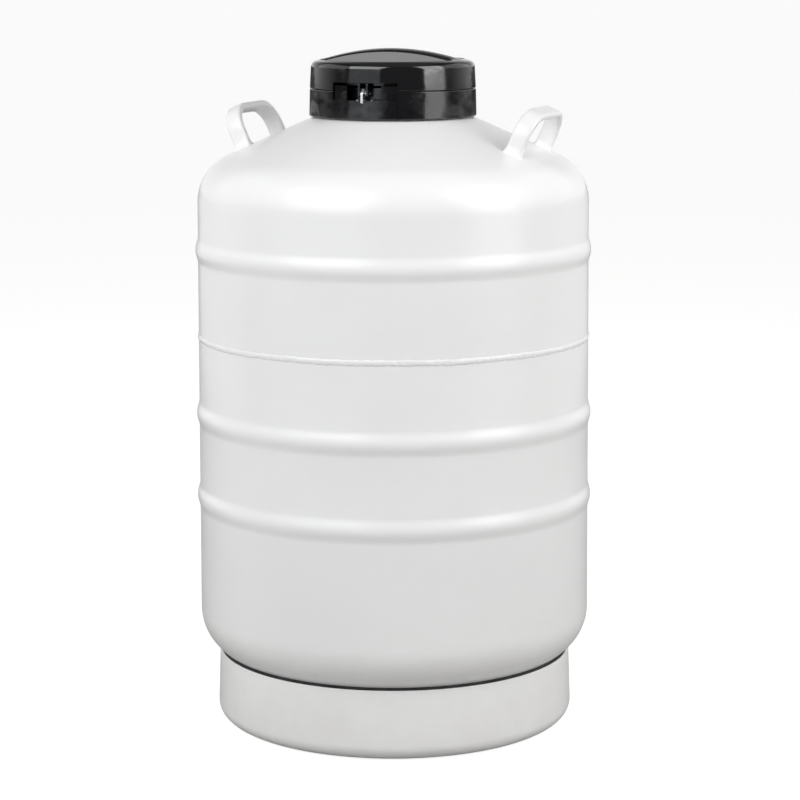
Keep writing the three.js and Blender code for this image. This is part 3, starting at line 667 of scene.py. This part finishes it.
def handle(name, side):
    """A strap loop that stands square to the shoulder, with feet that flare into their welds."""
    half = HANDLE_HALF_SPAN - HANDLE_STRAP / 2
    top = HANDLE_HEIGHT - HANDLE_STRAP / 2
    corner = HANDLE_CORNER - HANDLE_STRAP / 2
    foot = -6.5
    flat = [(-half, foot), (-half, -3.2), (-half, 0), (-half, 4), (-half, top - corner)]
    flat += [
        (-half + corner - corner * math.cos(a), top - corner + corner * math.sin(a))
        for a in (math.pi / 2 * i / 12 for i in range(1, 13))
    ]
    flat += [(-x, h) for x, h in reversed(flat)]
    up = Vector((side * math.sin(SHOULDER_SLOPE), 0, math.cos(SHOULDER_SLOPE)))
    wide = Vector((side * math.cos(SHOULDER_SLOPE), 0, -math.sin(SHOULDER_SLOPE)))
    along = Vector((0, 1, 0))
    origin = Vector((side * HANDLE_RADIUS, 0, cone_height(HANDLE_RADIUS)))
    path, growth = [], []
    for i, (t, h) in enumerate(flat):
        before = Vector(flat[max(i - 1, 0)])
        after = Vector(flat[min(i + 1, len(flat) - 1)])
        run = (after - before).normalized()
        across = Vector((-run.y, run.x))
        path.append((origin + along * t + up * h, along * across.x + up * across.y, wide))
        flare = max(0, min(1, (1.5 - h) / 6)) ** 2
        growth.append((1 + 1.1 * flare, 1 + 0.32 * flare))
    section = rounded([
        (-HANDLE_STRAP / 2, -HANDLE_WIDTH / 2, 2.2), (HANDLE_STRAP / 2, -HANDLE_WIDTH / 2, 2.2),
        (HANDLE_STRAP / 2, HANDLE_WIDTH / 2, 2.2), (-HANDLE_STRAP / 2, HANDLE_WIDTH / 2, 2.2),
    ])
    return sweep(name, path, section, growth, sharp=50)


place(jacket_upper(), "vessel", "white_paint", PAINT, "outer_shell_upper")
place(jacket_lower(), "vessel", "white_paint", PAINT, "outer_shell_lower")
place(weld_bead(), "vessel", "white_paint", WELD, "shell_seam_weld")
place(base_skirt(), "vessel", "white_paint", PAINT, "base_ring")
# Painted shade: a black rubber strip fills the gap under the jacket, where there is only shade.
place(painted_gap_shade_strip(), "vessel", "rubber", RUBBER)
for side, word in ((1, "right"), (-1, "left")):
    place(handle(f"strap_handle_{word}", side), "vessel", "white_paint", PAINT, f"handle_{word}")
place(revolve("foot_ring_rubber", rounded([
    (foot_high.x - 15, 0, 1), (foot_high.x, 0, 1),
    (foot_high.x, foot_high.z, 0.5), (foot_high.x - 15, foot_high.z, 0.5),
]), SHELL_FACETS), "vessel", "rubber", RUBBER, "foot_ring")


# ---- lid ------------------------------------------------------------------------------------

LID_RIM_RADIUS = 81.2
GRIP_CROWN = 2.3
DOME_RADIUS = 76.2


def dome_height(radius):
    return cover_high.z - (cover_high.z - LID_RIM_HEIGHT) * (radius / DOME_RADIUS) ** 2


def crown_drop(x, y):
    """How far the grip bar's top falls away on either side of its middle line."""
    fade = max(0, min(1, (SCOOP_RADIUS - math.hypot(x, y)) / 6))
    return GRIP_CROWN * min(abs(y) / GRIP_HALF_WIDTH, 1) ** 2 * fade


def crowned(radius, height, angle):
    if height < LID_RIM_HEIGHT:
        return radius, height
    return radius, height - crown_drop(radius * math.sin(angle), radius * math.cos(angle))


def scoop_outline(corner=6, spacing=3.0):
    """The plan of a finger scoop: a round segment in front of the grip bar, with rounded corners."""
    reach = math.sqrt((SCOOP_RADIUS - corner) ** 2 - (GRIP_HALF_WIDTH + corner) ** 2)
    spoke = math.atan2(GRIP_HALF_WIDTH + corner, reach)
    points = []
    steps = int(SCOOP_RADIUS * (math.pi - 2 * spoke) / spacing)
    for i in range(steps + 1):
        a = spoke + (math.pi - 2 * spoke) * i / steps
        points.append(((SCOOP_RADIUS * math.cos(a), SCOOP_RADIUS * math.sin(a)), (math.cos(a), math.sin(a))))
    for i in range(1, 9):
        a = math.pi - spoke + (math.pi / 2 + spoke) * i / 8
        points.append(((-reach + corner * math.cos(a), GRIP_HALF_WIDTH + corner + corner * math.sin(a)),
                       (math.cos(a), math.sin(a))))
    steps = int(2 * reach / spacing)
    for i in range(1, steps):
        points.append(((-reach + 2 * reach * i / steps, GRIP_HALF_WIDTH), (0, -1)))
    for i in range(8):
        a = -math.pi / 2 + (math.pi / 2 + spoke) * i / 8
        points.append(((reach + corner * math.cos(a), GRIP_HALF_WIDTH + corner + corner * math.sin(a)),
                       (math.cos(a), math.sin(a))))
    return points


def scoop_tool(name, side, floor_round=2.0, lip=1.5, draft=0.16, rolled=math.radians(70)):
    """A cutter with a rounded floor, a slightly drafted wall and a lip that rolls onto the dome."""

    def surface(x, y):
        return dome_height(math.hypot(x, y)) - crown_drop(x, y)

    def row(grow, height):
        points = []
        for (x, y), (u, v) in scoop_outline():
            top = surface(x, y)
            z = height(top)
            out = grow - draft * max(0, top - lip - z)
            points.append(((x + u * out) * side, (y + v * out) * side, z))
        return points

    rows = [
        row(-floor_round * (1 - math.sin(a)), lambda top, a=a: SCOOP_FLOOR + floor_round * (1 - math.cos(a)))
        for a in (math.pi / 2 * k / 6 for k in range(7))
    ]
    for k in range(6):
        a = rolled * k / 5
        rows.append(row(lip * (1 - math.cos(a)), lambda top, a=a: max(
            SCOOP_FLOOR + floor_round + 0.05, top - lip + lip * math.sin(a))))
    flare = lip * (1 - math.cos(rolled))
    rows.append(row(flare + 1.2, lambda top: top + 0.8))
    rows.append(row(flare + 1.2, lambda top: cover_high.z + 12))
    return loft(name, rows, 50)


def lid_cover():
    steps = 28
    bottom = cover_low.z
    crown = [(73 * (1 - i / steps), dome_height(73 * (1 - i / steps))) for i in range(steps)]
    walls = rounded([
        (0, 661.5), (77.4, 661.5, 2), (79.7, WINDOW_TOP), (79.7, bottom, 0.3), (82.6, bottom, 0.8),
        (LID_RIM_RADIUS, LID_RIM_HEIGHT - 1.5, 6.2), (74, dome_height(74)),
    ], steps=8)
    cover = revolve("lid_cover_moulding", walls + crown + [(0, cover_high.z)], LID_FACETS, crowned)
    for side, word in ((1, "back"), (-1, "front")):
        boolean(cover, scoop_tool(f"scoop_{word}", side))
    boolean(cover, sector("window_cut", 70, 90, WINDOW_HALF_ANGLE, bottom - 2, WINDOW_TOP))
    for x, y in LINER_SCREWS:
        boolean(cover, turned("boss", disc_outline(4.5, liner_high.z + 0.4, 662.5), (x, y), 24), "UNION")
    return finish_edges(cover, 32)


def lock_collar():
    bottom, top = collar_low.z, 641.6
    outline = rounded([
        (51, LAND_HEIGHT + 0.5, 0.4), (79.6, LAND_HEIGHT + 0.5), (79.9, bottom, 0.4),
        (collar_high.x, bottom, 1.2), (82.6, top, 0.8), (79.2, top, 0.4), (79.2, 623.3, 1.5),
        (51, 623.3, 0.6),
    ])
    collar = revolve("lock_collar_moulding", outline, LID_FACETS)
    for side in (-1, 1):
        middle = side * (SLOT_HALF_ANGLE + WINDOW_HALF_ANGLE) / 2
        half = (WINDOW_HALF_ANGLE - SLOT_HALF_ANGLE) / 2
        clear = 0.009 if side < 0 else 0.004
        low = WINDOW_BOTTOM - 3
        tongue = sector("tongue", 79.25, 81.1, half - clear, low, TONGUE_TOP, 12, middle + clear)
        boolean(collar, tongue, "UNION")
    boolean(collar, sector("slot_cut", 74, 90, SLOT_HALF_ANGLE, WINDOW_BOTTOM, top + 3))
    boolean(collar, sector("step_cut", 81.1, 90, WINDOW_HALF_ANGLE, WINDOW_BOTTOM, top + 3))
    seam_line = sector("seam_line", 82.1, 90, 0.006, bottom - 1, WINDOW_BOTTOM + 0.4, 2, WINDOW_HALF_ANGLE)
    boolean(collar, seam_line)
    return finish_edges(collar, 32)


def lock_pocket():
    """The tray behind the window."""
    cheek = WINDOW_HALF_ANGLE + math.radians(2)
    low = 623.7
    pocket = sector("lock_pocket_moulding", 67.5, 70, cheek, low, 644.5, 32)
    boolean(pocket, sector("shelf", 69, 78.8, cheek, SHELF_TOP - 3, SHELF_TOP, 32), "UNION")
    for side in (-1, 1):
        middle = side * (WINDOW_HALF_ANGLE + math.radians(1))
        boolean(pocket, sector("cheek", 69.5, 78.8, math.radians(1), low, 641.4, 4, middle), "UNION")
    return finish_edges(pocket, 32)


def lock_lug_block():
    """The block under the crown, with two rounded lugs that straddle the staple."""
    block = box_piece("lock_lugs", (-9, -77.4, 652.5), (9, -71.6, 662.1), 0.6)
    for side in (-1, 1):
        inner, outer = sorted((side * 3, side * 5.2))
        outline = rounded([
            (-81, 635.6, 3.6), (-72.4, 635.6, 3.6), (-72.4, 654), (-77.4, 654),
            (-77.4, 649.6, 0.8), (-81, 649.6, 1),
        ])
        boolean(block, side_plate("lug", outline, inner, outer, 0.35), "UNION")
    boolean(block, rod_tool("drill", LOCK_HOLE_RADIUS, (-20, *LOCK_HOLE), (20, *LOCK_HOLE)))
    return finish_edges(block, 32)


def lock_staple():
    """Bent steel: a foot on the shelf and an upright blade with the shackle's hole."""
    foot = box_piece("staple", (-10.5, -77.9, SHELF_TOP + 0.3), (10.5, -73.2, SHELF_TOP + 1.8), 0.5)
    blade = side_plate("blade", rounded([
        (-72.6, SHELF_TOP + 0.5, 0.4), (-72.6, 645.2, 3.2), (-79.6, 645.2, 2.6), (-84.2, 640.4, 2),
        (-84.2, SHELF_TOP, 0.5), (-83.4, SHELF_TOP, 0.3), (-83.4, 633.6, 0.3), (-78.6, 633.6, 0.3),
        (-78.6, SHELF_TOP + 0.5, 0.3),
    ]), -1.4, 1.4, 0.35)
    boolean(foot, blade, "UNION")
    boolean(foot, rod_tool("drill", LOCK_HOLE_RADIUS, (-20, *LOCK_HOLE), (20, *LOCK_HOLE)))
    return finish_edges(foot, 32)


def lid_liner():
    bottom, top, rim = 647, liner_high.z, liner_low.z
    outline = rounded([
        (0, bottom), (73.5, bottom, 1), (73.5, rim, 0.6), (77, rim, 0.8), (77, top, 0.8), (0, top),
    ])
    liner = revolve("lid_liner_moulding", outline, LID_FACETS)
    half = WINDOW_HALF_ANGLE + math.radians(4)
    boolean(liner, sector("notch", 70.7, 90, half, rim - 5, top + 5, 40))
    boolean(liner, sector("deep_notch", 60, 90, half, rim - 5, bottom - 0.1, 40))
    return finish_edges(liner, 32)


place(lid_cover(), "lid", "black_plastic", BLACK, "lid_cover")
place(lid_liner(), "lid", "black_plastic", BLACK_WORN, "lid_liner")
place(lock_lug_block(), "lid", "black_plastic", BLACK, "lock_lug_block")
place(lock_collar(), "vessel", "black_plastic", BLACK_WORN, "lock_collar")
place(lock_pocket(), "vessel", "black_plastic", BLACK_WORN, "lock_pocket")
place(lock_staple(), "vessel", "steel", STEEL, "lock_staple")

for x, word in ((-7.6, "left"), (7.6, "right")):
    seat = SHELF_TOP + 2.1
    rivet = turned(f"rivet_{word}", rounded([
        (0, 626), (1, 626, 0.2), (1, seat), (1.8, seat, 0.1), (1.8, seat + 0.5, 0.4),
        (0.9, seat + 1.2, 0.8), (0, seat + 1.2),
    ]), (x, -75.6), 24)
    place(rivet, "vessel", "steel", STEEL, f"staple_rivet_{word}")
for i, (x, y) in enumerate(COLLAR_SCREWS):
    head = rounded([
        (0, 611), (2, 611, 0.3), (2, 623.7), (4, 623.7, 0.2), (4, 625, 0.8), (2.6, 626.5, 1.2), (0, 626.5),
    ])
    screw = cross_recess(turned(f"collar_screw_head_{i + 1}", head, (x, y)), (x, y), 625.4, 628)
    place(screw, "vessel", "steel", STEEL, f"collar_screw_{i + 1}")
for i, (x, y) in enumerate(LINER_SCREWS):
    head = rounded([
        (0, 657), (1.3, 657, 0.3), (1.3, 646.6), (3.2, 646.6, 0.2), (3.2, 645.8, 0.6), (2, 644.8, 1),
        (0, 644.8),
    ])
    screw = cross_recess(turned(f"liner_screw_head_{i + 1}", head, (x, y)), (x, y), 643, 645.8)
    place(screw, "lid", "steel", STEEL, f"liner_screw_{i + 1}")


# ---- neck, plug and index ring --------------------------------------------------------------

def index_ring():
    seat = index_low.z
    blank = revolve("index_ring_moulding", rounded([
        (32.1, seat, 0.3), (47, seat, 0.5), (47, 629.4, 1), (44, 633, 1), (25.9, 633, 1.2),
        (25.9, 628.4, 0.3),
        (32.1, 628.4),
    ]), NECK_FACETS)
    for i in range(CANISTER_COUNT):
        notch = box_piece("notch", (20, -2.2, 629.6), (50, 2.2, 640), 0.5)
        notch.data.transform(Matrix.Rotation(canister_angle(i), 4, "Z"))
        boolean(blank, notch)
    return finish_edges(blank, 32)


def numeral(i):
    """A raised place number beside a canister's notch."""
    curve = bpy.data.curves.new(f"numeral_{i + 1}", "FONT")
    curve.body = str(i + 1)
    curve.size = 9 * MM
    curve.extrude = 0.15 * MM
    curve.align_x = "CENTER"
    curve.align_y = "CENTER"
    holder = bpy.data.objects.new(curve.name, curve)
    bpy.context.scene.collection.objects.link(holder)
    graph = bpy.context.evaluated_depsgraph_get()
    mesh = bpy.data.meshes.new_from_object(holder.evaluated_get(graph))
    bpy.data.objects.remove(holder)
    turn = canister_angle(i) + math.radians(16)
    spot = Vector((36 * math.cos(turn), 36 * math.sin(turn), 633.1)) * MM
    mesh.transform(Matrix.Translation(spot) @ Matrix.Rotation(turn + math.pi / 2, 4, "Z"))
    obj = bpy.data.objects.new(f"place_number_{i + 1}", mesh)
    bpy.context.scene.collection.objects.link(obj)
    return obj


place(revolve("neck_flange_turned", rounded([
    (27.6, 600, 0.3), (31.6, 600, 0.3), (31.6, 620, 0.4), (50, 620, 0.4), (50, 622.6, 0.6), (31.6, 622.6, 1),
    (31.6, 628, 0.5), (27.6, 628, 0.5),
]), NECK_FACETS), "vessel", "aluminium", ALUMINIUM, "neck_flange")
place(revolve("neck_tube_wound", rounded([
    (25, tube_low.z, 0.4), (27.3, tube_low.z, 0.4), (27.3, tube_high.z, 0.8), (25, tube_high.z, 1),
]), NECK_FACETS), "vessel", "glass_fibre", FIBRE, "neck_tube")
place(index_ring(), "vessel", "black_plastic", BLACK_WORN, "canister_index_ring")
for i in range(CANISTER_COUNT):
    place(numeral(i), "vessel", "white_paint", PAINT)
place(turned("neck_plug_foam", rounded([
    (0, plug_low.z), (20.2, plug_low.z, 2.5), (20.2, plug_high.z, 1), (2.4, plug_high.z),
    (2.4, 620), (0, 620),
]), facets=NECK_FACETS, warp=pressed_foam), "lid", "foam", FOAM, "neck_plug")
place(turned("plug_hub_moulding", rounded([
    (2.4, 640.4, 0.3), (17, 640.4, 1), (17, 642.4, 0.8), (9, 643.6, 1.5), (9, 646.6, 0.3), (2.4, 646.6, 0.3),
]), facets=NECK_FACETS), "lid", "black_plastic", BLACK, "plug_hub")
place(turned("plug_bolt", rounded([
    (0, 622), (2, 622, 0.4), (2, 649.9), (5, 649.9, 0.3), (5, 650.7, 0.3), (4, 650.7),
    (4, 652.5, 0.6), (0, 652.5),
])), "lid", "steel", STEEL, "plug_screw")


# ---- inner vessel and insulation ------------------------------------------------------------

def vessel_outline(offset, start_radius, down_to=None):
    """From the neck over the shoulder and down the wall, moved outward by an offset."""
    wall, lift = VESSEL_RADIUS + offset, offset / math.cos(VESSEL_SLOPE)
    cone = lambda radius: VESSEL_TOP + lift - (radius - NECK_OUTER) * math.tan(VESSEL_SLOPE)
    points = [(start_radius, cone(start_radius)), (wall, cone(wall), VESSEL_FILLET + offset)]
    return points if down_to is None else points + [(wall, down_to)]


def inner_upper():
    edge = VESSEL_SEAM + 0.2
    outline = [(27.7, VESSEL_TOP + 12, 0.4), (30.2, VESSEL_TOP + 12, 0.4)] + vessel_outline(0, 30.2, edge)
    outline += vessel_outline(-2, 27.7, edge)[::-1]
    return revolve("inner_vessel_spun_top", rounded(outline), NECK_FACETS)


def inner_lower():
    edge, floor = VESSEL_SEAM - 0.2, 90
    return revolve("inner_vessel_spun_bottom", rounded([
        (VESSEL_RADIUS - 2, edge), (VESSEL_RADIUS, edge), (VESSEL_RADIUS, floor, VESSEL_FILLET), (0, floor),
        (0, floor + 2), (VESSEL_RADIUS - 2, floor + 2, VESSEL_FILLET - 2),
    ]), NECK_FACETS)


def blanket():
    """Layers of foil wrapped round the inner vessel, a little uneven on the outside."""
    outline = vessel_outline(11, 36) + [(VESSEL_RADIUS + 11, 79, VESSEL_FILLET + 11), (48, 79), (48, 89)]
    outline += [(VESSEL_RADIUS + 1, 89, VESSEL_FILLET + 1)] + vessel_outline(1, 36)[::-1]

    def warp(radius, height, angle):
        if radius < VESSEL_RADIUS + 3:
            return radius, height
        crease = noise.noise(Vector((math.cos(angle) * 9, math.sin(angle) * 9, height * 0.05)))
        return radius + 1.2 * crease, height

    return revolve("foil_wrap", rounded(outline), NECK_FACETS, warp)


def locator():
    plate = revolve("canister_locator_plate", rounded([
        (14, 92.4, 0.4), (66, 92.4, 0.6), (66, 102.6, 1), (14, 102.6, 0.8),
    ]), NECK_FACETS)
    for i in range(CANISTER_COUNT):
        a = canister_angle(i)
        spot = (CANISTER_CIRCLE * math.cos(a), CANISTER_CIRCLE * math.sin(a))
        boolean(plate, turned("well", disc_outline(CANISTER_RADIUS + 0.6, 98, 110), spot, 48))
    return finish_edges(plate, 32)


place(inner_upper(), "vessel", "aluminium", ALUMINIUM, "inner_vessel_upper")
place(inner_lower(), "vessel", "aluminium", ALUMINIUM, "inner_vessel_lower")
place(blanket(), "vessel", "foil", FOIL, "insulation_blanket")
place(turned("adsorbent_pad", rounded([
    (0, 78), (44, 78, 2), (44, 89, 2), (0, 89),
]), facets=64), "vessel", "foam", FOAM, "adsorbent_pack")
place(locator(), "vessel", "aluminium", ALUMINIUM, "canister_locator")

place(turned("evacuation_port", rounded([
    (5, 40, 0.4), (8, 40, 0.6), (8, 60.4, 0.6), (14, 60.4, 0.5), (14, 65.4, 0.3), (8, 65.4),
    (8, 72, 0.5), (5, 72, 0.4),
]), facets=48), "vessel", "aluminium", ALUMINIUM, "vacuum_port")
place(turned("evacuation_stopper", rounded([
    (0, 33.6), (7, 33.6, 1), (7, 39.6, 0.4), (4.6, 39.6), (4.6, 60, 0.8), (0, 60),
]), facets=48), "vessel", "rubber", RUBBER, "vacuum_plug")
place(turned("evacuation_cap", rounded([
    (0, 30), (11, 30, 1.6), (11, 58, 0.6), (8.6, 58, 0.4), (8.6, 33, 0.6), (0, 33),
]), facets=64, warp=knurled_cap), "vessel", "black_plastic", BLACK_WORN, "vacuum_cap")


# ---- canisters ------------------------------------------------------------------------------

def canister_cup():
    """A pierced steel cup with a rolled rim, standing on the X axis."""
    low = 98.4
    outline = rounded([
        (4, low, 0.3), (18.7, low, 1.5), (18.7, low + 117.4, 0.4), (19, low + 118.4, 0.5),
        (19, low + 120, 0.5),
        (17.6, low + 120, 0.5), (17.6, low + 1.2, 1), (4, low + 1.2, 0.3),
    ])
    cup = turned("canister_cup_master", outline, (CANISTER_CIRCLE, 0), 64)
    for row, height in enumerate((low + 14, low + 30, low + 46)):
        for k in range(4):
            a = math.pi * (k + row / 2) / 4
            out = Vector((24 * math.cos(a), 24 * math.sin(a), 0))
            middle = Vector((CANISTER_CIRCLE, 0, height))
            boolean(cup, rod_tool("pierce", 2, middle - out, middle + out, 20))
    return finish_edges(cup, 32)


def canister_rod():
    """A round wire from the cup's wall to a hook over the index ring, in the XZ plane."""
    upright, hook, bend, reach, foot = 22.7, 631.2, 4.2, 49.5, 150.5
    line = [(upright, foot), (upright, foot + 200), (upright, hook - bend)]
    line += [(upright + bend * (1 - math.cos(a)), hook - bend * (1 - math.sin(a)))
             for a in (math.pi / 2 * i / 10 for i in range(1, 11))]
    line += [(reach - bend * (1 - math.sin(a)), hook - bend * (1 - math.cos(a)))
             for a in (math.pi / 2 * i / 10 for i in range(11))]
    line.append((reach, hook - bend - 1))
    path = []
    for i, (x, z) in enumerate(line):
        ahead = Vector(line[min(i + 1, len(line) - 1)]) - Vector(line[max(i - 1, 0)])
        ahead.normalize()
        path.append((Vector((x, 0, z)), Vector((-ahead.y, 0, ahead.x)), Vector((0, 1, 0))))
    angles = [2 * math.pi * i / 16 for i in range(16)]
    section = [(ROD_RADIUS * math.cos(a), ROD_RADIUS * math.sin(a)) for a in angles]
    return sweep("canister_rod_master", path, section, sharp=50)


def spread(master, stem, node):
    """Copies a master round the neck, once for each canister, and removes the master."""
    for i in range(CANISTER_COUNT):
        mesh = master.data.copy()
        mesh.transform(Matrix.Rotation(canister_angle(i), 4, "Z"))
        obj = bpy.data.objects.new(f"{stem}_{i + 1}", mesh)
        bpy.context.scene.collection.objects.link(obj)
        place(obj, f"canister_{i + 1}", "steel", STEEL, f"{node}_{i + 1}")
    bpy.data.objects.remove(master)


spread(canister_cup(), "pierced_cup", "canister")
spread(canister_rod(), "hooked_rod", "canister_rod")


# ---- studio ---------------------------------------------------------------------------------

def area_light(name, azimuth, elevation, distance, width, height, power, colour=(1, 1, 1)):
    """A softbox that faces the flask, at an azimuth counted like the camera's."""
    light = bpy.data.lights.new(name, "AREA")
    light.shape = "RECTANGLE"
    light.size, light.size_y = width, height
    light.energy = power
    light.color = colour
    obj = bpy.data.objects.new(name, light)
    bpy.context.scene.collection.objects.link(obj)
    a, e = math.radians(azimuth), math.radians(elevation)
    middle = Vector((0, 0, 0.36))
    back = Vector((math.sin(a) * math.cos(e), -math.cos(a) * math.cos(e), math.sin(e)))
    obj.location = middle + back * distance
    obj.rotation_euler = back.to_track_quat("Z", "Y").to_euler()
    return obj


VIEW_AZIMUTH = 21.0
VIEW_DISTANCE = 12.795 * JACKET_RADIUS * MM
VIEW_HEIGHT = 3.90 * JACKET_RADIUS * MM
VIEW_PITCH = 0.1737
FOCAL_PIXELS = 2516
AXIS_OFFSET_PIXELS = 6.3
CAMERA_ROLL = -0.0025

area_light("softbox_left", VIEW_AZIMUTH - 40, 34, 2.1, 1.7, 1.5, 28)
area_light("softbox_left_low", VIEW_AZIMUTH - 40, 4.5, 2.1, 1.7, 0.7, 1.8, (0.85, 0.92, 1))
area_light("softbox_right", VIEW_AZIMUTH + 58, 32, 2.1, 1.2, 1.6, 22.5)
area_light("softbox_right_low", VIEW_AZIMUTH + 60, 4.5, 2.1, 1.2, 0.7, 5)
area_light("overhead", VIEW_AZIMUTH, 84, 2.6, 2.4, 2.4, 2)
area_light("side_left", VIEW_AZIMUTH - 98, 30, 2.3, 2.6, 1.6, 11)
area_light("side_left_low", VIEW_AZIMUTH - 124, -3, 2.3, 2.6, 0.45, 2.7)
area_light("side_right", VIEW_AZIMUTH + 105, 30, 2.3, 2.6, 1.6, 11)
area_light("side_right_low", VIEW_AZIMUTH + 126, -3, 2.3, 2.6, 0.45, 2.3)
area_light("fill_low", VIEW_AZIMUTH - 45, -3, 2.3, 2.6, 0.45, 2.5)


def studio():
    far = 60000
    floor = make("floor", [(-far, -far, 0), (far, -far, 0), (far, far, 0), (-far, far, 0)], [(0, 1, 2, 3)])
    pale = Nodes("pale_floor")
    tone = pale.ramp(pale.noise(0.8, 2), [(0.3, (0.34, 0.337, 0.33)), (0.7, (0.36, 0.357, 0.35))])
    seen = pale.add("ShaderNodeLightPath").outputs["Is Camera Ray"]
    glow = pale.math("MULTIPLY", seen, 0.88)
    pale.shader.inputs["Emission Color"].default_value = (1, 1, 1, 1)
    pale.tree.links.new(glow, pale.shader.inputs["Emission Strength"])
    floor.data.materials.append(pale.set(base=tone, rough=0.9))
    world = bpy.data.worlds.new("studio")
    world.use_nodes = True
    tree = world.node_tree
    background = tree.nodes["Background"]
    path = tree.nodes.new("ShaderNodeLightPath")
    place = tree.nodes.new("ShaderNodeTexCoord")
    facing = tree.nodes.new("ShaderNodeVectorMath")
    facing.operation = "DOT_PRODUCT"
    azimuth = math.radians(VIEW_AZIMUTH)
    toward = Vector((math.sin(azimuth), -math.cos(azimuth), 1.6)).normalized()
    facing.inputs[1].default_value = toward
    tree.links.new(place.outputs["Generated"], facing.inputs[0])
    wall = tree.nodes.new("ShaderNodeMapRange")
    for key, value in {"From Min": 0.1, "From Max": -0.6, "To Min": 0.1, "To Max": 1.3}.items():
        wall.inputs[key].default_value = value
    tree.links.new(facing.outputs["Value"], wall.inputs["Value"])
    mix = tree.nodes.new("ShaderNodeMix")
    mix.data_type = "RGBA"
    mix.inputs["B"].default_value = (1, 1, 1, 1)
    tree.links.new(wall.outputs["Result"], mix.inputs["A"])
    tree.links.new(path.outputs["Is Camera Ray"], mix.inputs["Factor"])
    tree.links.new(mix.outputs["Result"], background.inputs["Color"])
    bpy.context.scene.world = world
    bpy.context.scene.view_settings.view_transform = "Standard"


def camera():
    data = bpy.data.cameras.new("camera")
    data.sensor_width = 36
    data.lens = 36 * FOCAL_PIXELS / 800
    data.clip_end = 100
    obj = bpy.data.objects.new("camera", data)
    bpy.context.scene.collection.objects.link(obj)
    azimuth = math.radians(VIEW_AZIMUTH)
    obj.location = (math.sin(azimuth) * VIEW_DISTANCE, -math.cos(azimuth) * VIEW_DISTANCE, VIEW_HEIGHT)
    turn = math.atan(AXIS_OFFSET_PIXELS / FOCAL_PIXELS)
    level = Euler((math.pi / 2 - VIEW_PITCH, 0, azimuth - turn)).to_matrix()
    obj.rotation_euler = (level @ Matrix.Rotation(CAMERA_ROLL, 3, "Z")).to_euler()
    bpy.context.scene.camera = obj


studio()
camera()
